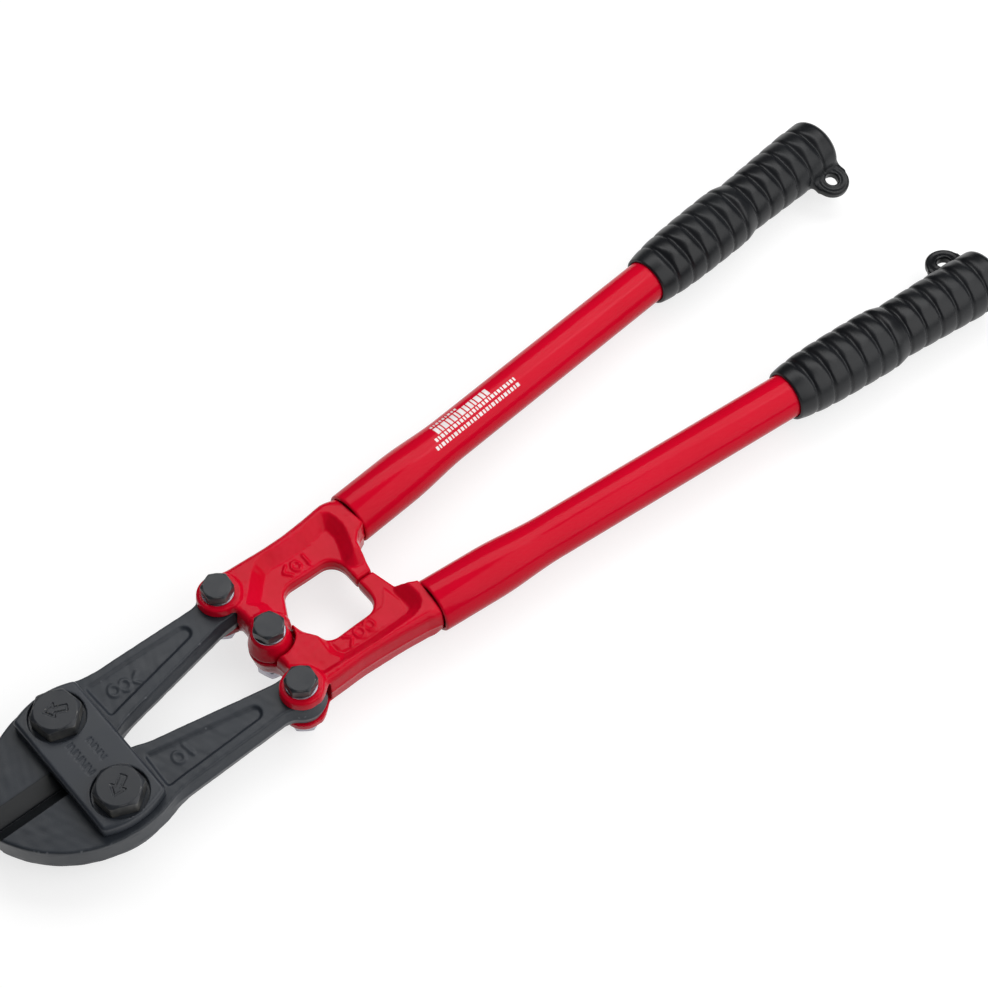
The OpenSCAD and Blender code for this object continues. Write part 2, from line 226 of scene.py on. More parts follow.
def inset(points: list, r: float) -> list:
    """Corners of an outline moved inwards.

    Args:
        points: Corners in order.
        r: How far each edge moves in.

    Returns:
        The corners of the smaller outline.
    """
    corners = np.asarray(points, float)
    nxt = np.roll(corners, -1, axis=0)
    turn = np.sign(np.sum(corners[:, 0] * nxt[:, 1] - nxt[:, 0] * corners[:, 1]))
    moved = []
    for before, at, after in zip(np.roll(corners, 1, axis=0), corners, nxt):
        e, f = at - before, after - at
        n = turn * np.array([-e[1], e[0]]) / np.hypot(*e)
        m = turn * np.array([-f[1], f[0]]) / np.hypot(*f)
        moved.append(at + r * (n + m) / (1 + n @ m))
    return moved


def rounded(points: list, r: float, x: np.ndarray, y: np.ndarray) -> np.ndarray:
    """Signed distance to an outline whose outward corners have the radius r."""
    return outline(inset(points, r), x, y) - r


def strokes(paths: list, x: np.ndarray, y: np.ndarray) -> np.ndarray:
    """Distance to the nearest of some open lines.

    Args:
        paths: Lines, each a list of points.
        x: Grid of x values.
        y: Grid of y values.

    Returns:
        The distance at each grid place.
    """
    nearest = np.full(np.broadcast(x, y).shape, np.inf)
    for path in paths:
        line = np.asarray(path, float)
        for a, b in zip(line[:-1], line[1:]):
            nearest = np.minimum(nearest, from_edge(a, b, x, y))
    return np.sqrt(nearest)


def disc(centre: np.ndarray, r: float, x: np.ndarray, y: np.ndarray) -> np.ndarray:
    """Signed distance to a disc."""
    return np.hypot(x - centre[0], y - centre[1]) - r


def share(a: np.ndarray, b: np.ndarray, r: np.ndarray | float = 0.0) -> np.ndarray:
    """What two solids share, with the edge between them rounded.

    Args:
        a: Distances to the first solid.
        b: Distances to the second solid.
        r: Radius of the rounding.

    Returns:
        Distances to the shared solid.
    """
    corner = np.hypot(np.maximum(a + r, 0), np.maximum(b + r, 0))
    return np.minimum(np.maximum(a, b), -r) + corner


def join(a: np.ndarray, b: np.ndarray, r: float = 0.0) -> np.ndarray:
    """Two solids together, with a fillet of radius r where they meet."""
    return -share(-a, -b, r)


def ramp(value: np.ndarray, start: float, end: float) -> np.ndarray:
    """Rises smoothly from 0 at start to 1 at end."""
    t = np.clip((value - start) / (end - start), 0, 1)
    return t * t * (3 - 2 * t)


def lumps(grid: "Carving", size: float, seed: int, waves: int = 16) -> np.ndarray:
    """Smooth unevenness of a hammered or cast surface.

    Args:
        grid: The solid whose grid it is worked out on.
        size: Usual width of a lump.
        seed: Start of the random numbers.
        waves: How many waves are added up.

    Returns:
        Heights that mostly lie between -1 and 1.
    """
    rng = np.random.default_rng(seed)
    total = np.zeros(grid.d.shape)
    for _ in range(waves):
        k = rng.normal(size=3)
        k *= 2 * math.pi / (2 * size * rng.uniform(0.7, 1.4)) / np.linalg.norm(k)
        start = rng.uniform(0, 2 * math.pi)
        wave = np.exp(1j * (k[0] * grid.x + start)) * np.exp(1j * k[1] * grid.y)
        total += (wave * np.exp(1j * k[2] * grid.z)).real
    return total * math.sqrt(2 / waves) / 1.6


# ---- Solids and skins ----


class Carving:
    """A solid held as distances on an even grid, that ends as a smooth mesh."""

    def __init__(self, low: list, high: list, step: float) -> None:
        """Sets up an empty grid.

        Args:
            low: Lowest corner of the room for the solid.
            high: Highest corner.
            step: Distance between grid points.
        """
        axes = [np.arange(a - 3 * step, b + 3.5 * step, step) for a, b in zip(low, high)]
        self.step = step
        self.low = np.array([axis[0] for axis in axes])
        self.x, self.y, self.z = np.ix_(*axes)
        self.d = np.full([len(axis) for axis in axes], 99.0)

    def cut(self, d: np.ndarray, r: float = 0.0) -> None:
        """Takes a solid away and rounds the new edges by r."""
        self.d = share(self.d, -d, r)

    def soften(self) -> None:
        """Rounds edges and fills corners a little, as a worn forging die leaves them."""
        for axis in range(3):
            either = np.roll(self.d, 1, axis) + np.roll(self.d, -1, axis)
            self.d = (either + 2 * self.d) / 4

    def skin(self) -> tuple[np.ndarray, np.ndarray]:
        """Finds the surface as one vertex for each grid cell that it passes through.

        Returns:
            The vertices and the four-sided faces between them.
        """
        shape = np.array(self.d.shape) - 1
        inside = self.d < 0
        cells, spots, quads = [], [], []
        for axis in range(3):
            u, v = (axis + 1) % 3, (axis + 2) % 3
            first = [slice(None)] * 3
            second = [slice(None)] * 3
            first[axis], second[axis] = slice(None, -1), slice(1, None)
            a, b = self.d[tuple(first)], self.d[tuple(second)]
            flips = inside[tuple(first)] != inside[tuple(second)]
            at = np.argwhere(flips)
            at = at[np.all(at[:, [u, v]] > 0, axis=1) & np.all(at[:, [u, v]] < shape[[u, v]], axis=1)]
            key = tuple(at.T)
            place = at.astype(float)
            place[:, axis] += a[key] / (a[key] - b[key])
            ring = []
            for du, dv in ((1, 1), (0, 1), (0, 0), (1, 0)):
                cell = at.copy()
                cell[:, u] -= du
                cell[:, v] -= dv
                flat = np.ravel_multi_index(tuple(cell.T), shape)
                ring.append(flat)
                cells.append(flat)
                spots.append(place)
            ring = np.stack(ring, axis=1)
            outward = inside[tuple(first)][key]
            quads.append(np.where(outward[:, None], ring, ring[:, ::-1]))
        flat, index = np.unique(np.concatenate(cells), return_inverse=True)
        spots = np.concatenate(spots)
        count = np.bincount(index)
        points = np.stack([np.bincount(index, spots[:, i]) / count for i in range(3)], axis=1)
        faces = np.searchsorted(flat, np.concatenate(quads))
        return self.low + points * self.step, faces


def loft(rings: list, close: tuple[bool, bool] = (True, True)) -> tuple[np.ndarray, list]:
    """Skins a row of rings that all have the same number of points.

    Args:
        rings: The rings, each an array of points.
        close: Whether the first and last rings are closed by a flat face.

    Returns:
        The vertices and the faces between them.
    """
    n = len(rings[0])
    faces = []
    for i in range(len(rings) - 1):
        for j in range(n):
            k = (j + 1) % n
            faces.append((i * n + j, i * n + k, (i + 1) * n + k, (i + 1) * n + j))
    if close[0]:
        faces.append(tuple(range(n - 1, -1, -1)))
    if close[1]:
        faces.append(tuple(range((len(rings) - 1) * n, len(rings) * n)))
    return np.concatenate(rings), faces


def hexagon(across: float, turn: float, n: int) -> np.ndarray:
    """Radius of a hexagon at n even steps round it, with its corners a little rounded.

    Args:
        across: Distance across its flats.
        turn: How far it is turned, in degrees.
        n: How many steps.

    Returns:
        The radius at each step.
    """
    a = 2 * math.pi * np.arange(n) / n - math.radians(turn)
    swing = (a % (math.pi / 3)) - math.pi / 6
    return across / 2 * np.minimum(1 / np.cos(swing), HEX_CORNER)


def circle(r: np.ndarray | float, z: np.ndarray | float, n: int) -> np.ndarray:
    """A ring of n points of radius r at the height z; both may change round the ring."""
    a = 2 * math.pi * np.arange(n) / n
    return np.stack([r * np.cos(a), r * np.sin(a), z + 0 * a], axis=1)


def spin(profile: list, n: int = 64, close: tuple[bool, bool] = (True, True)) -> tuple:
    """Turns a profile of (radius, height) points round z into vertices and faces."""
    return loft([circle(r, z, n) for r, z in profile], close)


def piece(name: str, points: np.ndarray, faces: list | np.ndarray, crisp: float = 0.0) -> bpy.types.Object:
    """Makes an object from a mesh in mm about the centre bolt.

    Args:
        name: The object's name.
        points: Vertices.
        faces: Faces as lists of vertex numbers.
        crisp: Angle in degrees above which an edge stays sharp, or 0 for none.

    Returns:
        The new object, in the scene.
    """
    mesh = bpy.data.meshes.new(name)
    placed = np.asarray(points) * MM + np.array(CENTRE)
    corners = faces.tolist() if isinstance(faces, np.ndarray) else faces
    mesh.from_pydata(placed.tolist(), [], corners)
    mesh.shade_smooth()
    if crisp:
        mesh.set_sharp_from_angle(angle=math.radians(crisp))
    made = bpy.data.objects.new(name, mesh)
    bpy.context.scene.collection.objects.link(made)
    return made


def fit(made: bpy.types.Object, body: str, node: str, material: bpy.types.Material) -> None:
    """Hangs a finished piece on its body in place of a CAD node, and reports it.

    Args:
        made: The piece.
        body: Body that it moves with.
        node: CAD node that it stands for, or nothing for an extra piece.
        material: Its finish.
    """
    made.data.materials.append(material)
    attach(made, body)
    if node:
        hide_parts(node)
    LOG.info("%s rides on %s with %d faces", made.name, body, len(made.data.polygons))


# ---- Finishes ----


def linear(code: str) -> tuple[float, float, float, float]:
    """Turns an sRGB hex colour into the linear colour that a shader takes."""
    parts = [int(code[i : i + 2], 16) / 255 for i in (1, 3, 5)]
    return (*(p / 12.92 if p <= 0.04045 else ((p + 0.055) / 1.055) ** 2.4 for p in parts), 1.0)


def node(
    tree: bpy.types.NodeTree,
    kind: str,
    settings: dict | None = None,
    links: dict | None = None,
    **props: object,
) -> bpy.types.Node:
    """Adds a node to a tree.

    Args:
        tree: The node tree.
        kind: Blender's name for the kind of node.
        settings: Values for its input sockets.
        links: Output sockets to join to its input sockets.
        props: The node's own properties.

    Returns:
        The new node.
    """
    made = tree.nodes.new(kind)
    for name, value in props.items():
        setattr(made, name, value)
    for name, value in (settings or {}).items():
        made.inputs[name].default_value = value
    for name, source in (links or {}).items():
        tree.links.new(source, made.inputs[name])
    return made


def per_metre(size_mm: float) -> float:
    """Scale of a noise texture whose features are about size_mm wide."""
    return 1 / (2 * size_mm * MM)


@dataclass(frozen=True)
class Finish:
    """A surface finish, built from two colours, a grain and a bump of real sizes."""

    name: str
    colour: str
    other_colour: str
    patch_mm: float
    roughness: float
    roughness_spread: float
    grain_mm: float
    grain_depth_mm: float
    metallic: float = 0.0
    specular: float = 0.5
    coat: float = 0.0
    coat_roughness: float = 0.1
    # Colour laid along outward edges: partly rubbed metal, partly a painted highlight.
    wear_highlight_colour: str = ""
    wear_highlight_from: float = 0.53
    wear_highlight_to: float = 0.6
    wear_highlight_most: float = 1.0
    swell_mm: float = 0.0
    swell_depth_mm: float = 0.0

    def material(self) -> bpy.types.Material:
        """Builds the finish as a node material.

        Returns:
            The material.
        """
        made = bpy.data.materials.new(self.name)
        made.use_nodes = True
        tree = made.node_tree
        tree.nodes.clear()
        place = node(tree, "ShaderNodeTexCoord").outputs["Object"]
        patch = node(
            tree,
            "ShaderNodeTexNoise",
            {"Scale": per_metre(self.patch_mm), "Detail": 4.0, "Roughness": 0.6},
            {"Vector": place},
        ).outputs["Fac"]
        colour = node(
            tree,
            "ShaderNodeMix",
            {"A": linear(self.colour), "B": linear(self.other_colour)},
            {"Factor": self.spread(tree, patch, 0.35, 0.65)},
            data_type="RGBA",
        )
        hue = self.mixed(colour)
        # Lightens outward edges: partly rubbed metal, partly a painted highlight.
        if self.wear_highlight_colour:
            hue = self.worn(tree, hue, patch)
        rough = node(
            tree,
            "ShaderNodeMapRange",
            {
                "From Min": 0.3,
                "From Max": 0.7,
                "To Min": self.roughness - self.roughness_spread,
                "To Max": self.roughness + self.roughness_spread,
            },
            {"Value": patch},
        ).outputs["Result"]
        shader = node(
            tree,
            "ShaderNodeBsdfPrincipled",
            {
                "Metallic": self.metallic,
                "Specular IOR Level": self.specular,
                "Coat Weight": self.coat,
                "Coat Roughness": self.coat_roughness,
            },
            {"Base Color": hue, "Roughness": rough, "Normal": self.relief(tree, place)},
        )
        node(tree, "ShaderNodeOutputMaterial", {}, {"Surface": shader.outputs["BSDF"]})
        return made

    @staticmethod
    def mixed(mix: bpy.types.Node) -> bpy.types.NodeSocket:
        """The colour that a colour mix gives."""
        return next(s for s in mix.outputs if s.type == "RGBA")

    @staticmethod
    def spread(
        tree: bpy.types.NodeTree, source: bpy.types.NodeSocket, low: float, high: float
    ) -> bpy.types.NodeSocket:
        """Stretches the part of a pattern between low and high over 0 to 1."""
        return node(
            tree, "ShaderNodeMapRange", {"From Min": low, "From Max": high}, {"Value": source}
        ).outputs["Result"]

    def worn(
        self, tree: bpy.types.NodeTree, hue: bpy.types.NodeSocket, patch: bpy.types.NodeSocket
    ) -> bpy.types.NodeSocket:
        """Lightens outward edges, partly as rubbed metal and partly as a painted highlight, and never on a
        level face.

        Args:
            tree: The material's tree.
            hue: The finish's own colour.
            patch: Pattern that breaks up the wear.

        Returns:
            The colour with the wear and the painted highlight in it.
        """
        geometry = node(tree, "ShaderNodeNewGeometry").outputs
        amount = node(
            tree,
            "ShaderNodeMapRange",
            {"From Min": self.wear_highlight_from, "From Max": self.wear_highlight_to, "To Max": self.wear_highlight_most},
            {"Value": geometry["Pointiness"]},
        ).outputs["Result"]
        up = node(tree, "ShaderNodeSeparateXYZ", {}, {"Vector": geometry["Normal"]}).outputs["Z"]
        for limit in (self.spread(tree, up, 0.995, 0.94), self.spread(tree, patch, 0.25, 0.6)):
            amount = node(
                tree, "ShaderNodeMath", {}, {0: amount, 1: limit}, operation="MULTIPLY"
            ).outputs["Value"]
        return self.mixed(
            node(
                tree,
                "ShaderNodeMix",
                {"B": linear(self.wear_highlight_colour)},
                {"Factor": amount, "A": hue},
                data_type="RGBA",
            )
        )

    def relief(self, tree: bpy.types.NodeTree, place: bpy.types.NodeSocket) -> bpy.types.NodeSocket:
        """Bumps the surface with the fine grain, over any broad swell.

        Args:
            tree: The material's tree.
            place: Texture coordinates in metres.

        Returns:
            The bumped normal.
        """
        grain = node(
            tree,
            "ShaderNodeTexNoise",
            {"Scale": per_metre(self.grain_mm), "Detail": 2.0},
            {"Vector": place},
        ).outputs["Fac"]
        under = {}
        if self.swell_mm:
            swell = node(
                tree,
                "ShaderNodeTexNoise",
                {"Scale": per_metre(self.swell_mm), "Detail": 1.0},
                {"Vector": place},
            ).outputs["Fac"]
            under["Normal"] = node(
                tree,
                "ShaderNodeBump",
                {"Strength": 1.0, "Distance": self.swell_depth_mm * MM},
                {"Height": swell},
            ).outputs["Normal"]
        return node(
            tree,
            "ShaderNodeBump",
            {"Strength": 1.0, "Distance": self.grain_depth_mm * MM},
            {"Height": grain, **under},
        ).outputs["Normal"]


# Enamel sprayed on a forging: wet gloss that breaks up over the rough scale under it.
ENAMEL_ON_FORGING = Finish(
    "gloss_enamel_sprayed_on_forging", "#d0092a", "#c80623", 7.0, 0.2, 0.04,
    grain_mm=0.9, grain_depth_mm=0.01, specular=0.11, swell_mm=2.4, swell_depth_mm=0.035,
)
# The same enamel on a drawn tube: long unbroken highlights with a faint orange peel.
ENAMEL_ON_TUBE = Finish(
    "gloss_enamel_sprayed_on_drawn_tube", "#d2092a", "#cc0726", 25.0, 0.12, 0.03,
    grain_mm=1.6, grain_depth_mm=0.002, specular=0.1, swell_mm=14.0, swell_depth_mm=0.03,
)
# Black oxide on a shot-blasted forging: satin blue-grey with an even fine grain. Blasting grit
# leaves marks of about 0.1 mm, too fine to show, so all the black grains are drawn coarser.
# Its outward edges are lightened, partly as rubbed metal and partly as a painted highlight.
OXIDE_FORGING = Finish(
    "black_oxide_on_blasted_forging", "#252a31", "#2c3138", 9.0, 0.44, 0.06,
    grain_mm=0.28, grain_depth_mm=0.016, specular=0.45, wear_highlight_colour="#6a6d72",
    wear_highlight_from=0.54, wear_highlight_to=0.62, wear_highlight_most=0.5, swell_mm=2.5, swell_depth_mm=0.018,
)
# Black oxide on a ground edge: slicker than the forging round it, and darker as painted shade in the groove
# between the closed jaws.
OXIDE_GROUND_PAINTED_SHADE = Finish(
    "black_oxide_on_ground_edge", "#131619", "#191c1f", 4.0, 0.34, 0.05,
    grain_mm=0.2, grain_depth_mm=0.006, specular=0.45,
)
# Black oxide on pressed plate: smooth and flat, lighter along its edges, partly where they are rubbed and
# partly as a painted highlight.
OXIDE_PLATE = Finish(
    "black_oxide_on_pressed_plate", "#272c33", "#2d323a", 8.0, 0.42, 0.05,
    grain_mm=0.35, grain_depth_mm=0.01, specular=0.5, wear_highlight_colour="#74777c",
    wear_highlight_from=0.535, wear_highlight_to=0.62, wear_highlight_most=0.7,
)
# Black oxide on a cold-headed bolt: a dull top with browner, lighter corners, partly rubbed and partly a
# painted highlight.
OXIDE_BOLT = Finish(
    "black_oxide_on_cold_headed_bolt", "#24272c", "#2c2f34", 3.0, 0.42, 0.07,
    grain_mm=0.4, grain_depth_mm=0.01, specular=0.45, wear_highlight_colour="#7a7872",
    wear_highlight_from=0.53, wear_highlight_to=0.6, wear_highlight_most=0.9,
)
# Bright zinc plate: a mirror gone slightly milky, with a cold lilac cast.
ZINC_PLATE = Finish(
    "bright_zinc_plate_on_steel", "#b4b0b9", "#9e9aa5", 2.5, 0.36, 0.06,
    grain_mm=0.3, grain_depth_mm=0.004, metallic=1.0,
)
# Dip-moulded PVC: soft satin black, with the mould's faint unevenness.
MOULDED_PVC = Finish(
    "dip_moulded_soft_pvc", "#151619", "#191b1e", 12.0, 0.36, 0.05,
    grain_mm=0.5, grain_depth_mm=0.008, specular=0.34, swell_mm=5.0, swell_depth_mm=0.06,
)
# Screen-printed ink: a flat opaque white, a little uneven where it is thin.
PRINTED_INK = Finish(
    "screen_printed_white_ink", "#f4eeee", "#e8dcdc", 1.2, 0.5, 0.05,
    grain_mm=0.4, grain_depth_mm=0.003,
)
# Matt painted board under the tool: pale and even, with no shine.
PALE_FLOOR = Finish(
    "matt_paint_on_board", "#a8a8a8", "#a4a4a4", 60.0, 0.9, 0.03,
    grain_mm=2.0, grain_depth_mm=0.004, specular=0.1,
)


# ---- Sub-assemblies ----


@dataclass(frozen=True)
class Relief:
    """A raised or sunk mark of plain shapes: a row of rings, bars and chevrons."""

    size: float
    pitch: float
    shapes: str = "o|o"

    def distance(self, centre: tuple, turn: float, x: np.ndarray, y: np.ndarray) -> np.ndarray:
        """Distance to the mark's strokes.

        Args:
            centre: Middle of the row.
            turn: Angle of the row to x, in degrees.
            x: Grid of x values.
            y: Grid of y values.

        Returns:
            The distance at each grid place.
        """
        c, s = math.cos(math.radians(turn)), math.sin(math.radians(turn))
        u = (x - centre[0]) * c + (y - centre[1]) * s
        v = (y - centre[1]) * c - (x - centre[0]) * s
        nearest = np.full(u.shape, np.inf)
        half = self.size / 2
        for i, shape in enumerate(self.shapes):
            at = (i - (len(self.shapes) - 1) / 2) * self.pitch
            if shape == "o":
                one = np.abs(np.hypot((u - at) * 1.25, v) - half * 0.86)
            elif shape == "|":
                one = strokes([[(at, -half), (at, half)]], u, v)
            else:
                one = strokes([[(at - half / 2, -half), (at + half / 2, 0), (at - half / 2, half)]], u, v)
            nearest = np.minimum(nearest, one)
        return nearest


@dataclass(frozen=True)
class Yoke:
    """The forged yokes: the right one is drawn as the left one and turned over."""

    layout: Layout
    step: float = 0.4
    ear_r: float = 9.0
    knuckle_r: float = 9.0
    seat_r: float = 8.7
    half_gap: float = 0.15
    panel: float = 3.6
    shelf: float = 6.6
    crown: float = 8.5
    ramp_slope: float = 1.05
    rim_out: float = 9.5
    slim: float = 1.9
    lean: float = 1.2
    shoulder_r: float = 9.7
    window_front: float = 10.6
    window_rear: float = 40.9
    window_r: float = 6.2
    window_side: float = 14.6
    prong: float = 7.4
    slot_half: float = 5.8
    swing_gap: float = 0.5
    bolt_r: float = 3.55
    draft: float = 0.08
    knuckle_draft: float = 0.22
    flash: float = 0.2
    flash_half: float = 0.5
    pad: float = 0.3
    mark_height: float = 0.65
    mark_half_w: float = 0.52
    edge_r: float = 1.1
    wall_r: float = 3.0
    roughness: float = 0.05
    swell: float = 0.03

    def sizes(self) -> tuple[float, float, float, float]:
        """The toggle's x and y, the seam's x and the outer edge's y."""
        tx, ty = self.layout.toggle
        return tx, ty, self.layout.tube_front[0], self.layout.tube_front[1] + self.rim_out

    def web(self, side: Side, x: np.ndarray, y: np.ndarray) -> np.ndarray:
        """Signed distance to the plan of the forging, without its knuckle.

        Args:
            side: Which yoke; the left one is slimmer along its outer wall.
            x: Grid of x values.
            y: Grid of y values.

        Returns:
            The distance at each grid place.
        """
        tx, ty, seam, outer = self.sizes()
        lean = self.lean if side is Side.LEFT else 0.0
        rear = -self.window_rear - self.prong
        inner = self.layout.tube_front[1] - self.layout.tube_r
        outer_end = outer
        if side is Side.LEFT:
            outer -= self.slim
        shape = rounded(
            [
                (-self.window_rear + 4, -3), (rear + 0.1, -3), (rear, 0.6), (rear - 2.4, 11),
                (seam + 3, inner - 2.0), (seam - 1.5, inner + 0.2), (seam - 1.5, outer_end - 0.1),
                (seam + 7, outer - 0.2), (seam + 16, outer - 1.3), (seam + 27, outer - 2.2),
                (seam + 36, outer - 2.1 - lean / 2), (tx - 9, outer - 1.2 - lean),
                (tx - 2, ty + self.ear_r - 0.5),
                (tx + 1.2, ty), (tx - 0.9, ty - self.ear_r), (tx - 0.9, 11.5), (tx + 1, -3),
            ],
            0.6, x, y,
        )
        shape = join(shape, disc((tx, ty), self.ear_r, x, y), 1.5)
        window = rounded(
            [
                (-self.window_front, -16), (-self.window_front, 2.6),
                (-self.window_front - 6.4, self.window_side),
                (-self.window_rear + 1.5, self.window_side - 0.6), (-self.window_rear, 8),
                (-self.window_rear, -16),
            ],
            self.window_r, x, y,
        )
        return share(share(shape, -window, 0.4), self.half_gap - y, 0.5)

    def heights(self, x: np.ndarray, y: np.ndarray, knuckle_face: bool) -> np.ndarray:
        """Height of one face of the forging over its plan.

        Args:
            x: Grid of x values.
            y: Grid of y values.
            knuckle_face: Whether it is the face with the knuckle on it.

        Returns:
            The height above the middle plane.
        """
        tx, ty, seam, outer = self.sizes()
        top = outer + 4
        if knuckle_face:
            ridge = [
                (-46.5, 9), (-48.0, 12), (-49.5, 16), (-50.6, 20.5), (-50.4, 25.3), (-49.5, 28.3),
                (-47.3, 29.8), (-44.5, 30.1), (-36, 28.5), (-26.4, 28.4), (-18.7, 29.1), (-14.2, 28),
                (-11.5, 26.1), (-6.7, 21.6), (-1, 15.9), (-3.5, 12), (-3.5, -4), (tx + 12, -4),
            ]
        else:
            ridge = [
                (-53.0, 14.5), (-53.4, 18.5), (-53.6, 22.0), (-52.4, 25), (-50.1, 27.1), (-46.5, 28.0),
                (-39.5, 28.0), (-29.7, 28.0), (-20.9, 27.4), (-12, 26.8), (tx - 9.5, 26.4), (tx - 6, ty - 6),
                (tx, ty - 11), (tx + 12, ty - 11),
            ]
        rib = outline(ridge + [(tx + 12, top), (seam - 3, top), (seam - 3, ridge[0][1])], x, y)
        height = np.clip(self.crown - self.ramp_slope * np.maximum(rib, 0), self.panel, self.crown)
        if not knuckle_face:
            boss = outline(
                [
                    (-13.4, 11), (-12.7, 20.1), (-14.6, 23.6), (-11, 27), (tx, 25), (tx + 12, 14),
                    (tx + 12, -4), (-9, -4), (-9.5, 6),
                ],
                x, y,
            )
            height = np.maximum(height, self.shelf - self.ramp_slope * np.maximum(boss, 0))
        if knuckle_face:
            knuckle = self.layout.ear_half - 2.2 * (np.hypot(x, y) - self.knuckle_r + 0.2)
            height = np.maximum(height, np.minimum(knuckle, self.layout.ear_half))
        else:
            pad = outline(
                [
                    (-16.6, 15.6), (-17.0, 21.2), (-24.6, 22.7), (-43, 23.2), (-46.2, 22.4), (-48, 18),
                    (-46.5, 9), (-41, 15.2),
                ],
                x, y,
            )
            height = height + self.pad * ramp(-pad, -0.3, 0.3)
        ear = disc((tx, ty), self.seat_r, x, y)
        seat = np.clip(self.layout.ear_half - 2.5 * ear, 0, self.layout.ear_half)
        return np.maximum(height, seat) + self.marks(x, y, knuckle_face)

    def marks(self, x: np.ndarray, y: np.ndarray, knuckle_face: bool) -> np.ndarray:
        """Height of the raised marks on a panel.

        Args:
            x: Grid of x values.
            y: Grid of y values.
            knuckle_face: Whether it is the face with the knuckle on it.

        Returns:
            How far the marks stand over the panel.
        """
        if knuckle_face:
            mark = Relief(5.0, 4.6, "|o>").distance((-27.0, 19.5), 2.0, x, y)
        else:
            mark = Relief(5.4, 4.8, ">oo").distance((-27.5, 18.6), 182.0, x, y)
        return self.mark_height * ramp(self.mark_half_w - mark, 0, 0.2)

    def carve(self, side: Side) -> Carving:
        """Carves one yoke, as if it were the left one.

        Args:
            side: Which yoke; the left one is a little slimmer along its outer wall.

        Returns:
            The carved solid.
        """
        tx, ty, seam, outer = self.sizes()
        ear_half = self.layout.ear_half
        low = [seam - 1, -self.knuckle_r, -ear_half]
        solid = Carving(low, [tx + self.ear_r, outer + 1, ear_half], self.step)
        x, y, z = solid.x, solid.y, solid.z
        plan = self.web(side, x, y)
        wall = plan + self.draft * np.abs(z) - self.flash * np.exp(-((z / self.flash_half) ** 2))
        above = z - self.heights(x, y, False)
        below = -z - self.heights(x, y, True)
        outside = ramp(y + 0 * x, outer - 9, outer - 3) * ramp(-x + 0 * y, -2, 6)
        neck = ramp(x + 0 * y, tx - 5, tx - 1) * ramp(ty - self.ear_r - y + 0 * x, 0, 3)
        roundness = self.edge_r + (self.wall_r - self.edge_r) * (outside + neck)
        solid.d = share(wall, np.maximum(above, below), roundness)
        along, out = self.layout.along(x, y)
        shoulder = np.hypot(np.maximum(out, 0), z) - self.shoulder_r - 0.5 * np.maximum(-along - 1, 0)
        solid.d = share(solid.d, shoulder, 1.5)
        hub = np.hypot(x, y) - self.knuckle_r + self.knuckle_draft * np.abs(z)
        knuckle = share(hub, np.maximum(z + self.half_gap, -z - ear_half), 1.6)
        solid.d = join(solid.d, knuckle, 1.5)
        solid.soften()
        rough = 1 - 0.75 * ramp(y + 0 * x, outer - 8, outer - 4)
        face = rough * ramp(np.abs(z), 3, 4.5) * (np.hypot(x - tx, y - ty) > self.seat_r + 0.5)
        solid.d = solid.d + self.roughness * lumps(solid, 1.5, 7) * face
        solid.d = solid.d + self.swell * lumps(solid, 5.0, 8)
        self.machine(solid)
        return solid

    def machine(self, solid: Carving) -> None:
        """Cuts the slot for the jaw, the seat of the other knuckle, the bores and the end.

        Args:
            solid: The forging.
        """
        x, y, z = solid.x, solid.y, solid.z
        tx, ty, _, _ = self.sizes()
        slot_r = self.ear_r + 0.2 + self.swing_gap
        box = np.maximum(tx - slot_r - x, ty - y)
        slot = np.minimum(disc((tx, ty), slot_r, x, y), box)
        solid.cut(share(slot, np.abs(z) - self.slot_half, 0.3), 0.3)
        hub = np.hypot(x, y)
        solid.cut(np.maximum(hub - self.knuckle_r - self.swing_gap, -self.half_gap - z), 0.3)
        solid.cut(np.minimum(hub, np.hypot(x - tx, y - ty)) - self.bolt_r + 0 * z, 0.2)
        along, _ = self.layout.along(x, y)
        solid.d = share(solid.d, along + 0.05 + 0 * z, 0.5)

    def build(self) -> None:
        """Builds both yokes."""
        enamel = ENAMEL_ON_FORGING.material()
        for side in Side:
            points, faces = self.carve(side).skin()
            turned = points * np.array([1, side.value, side.value])
            made = piece(f"yoke_{side.word}_enamelled", turned, faces)
            fit(made, f"{side.word}_handle", f"yoke_{side.word}", enamel)


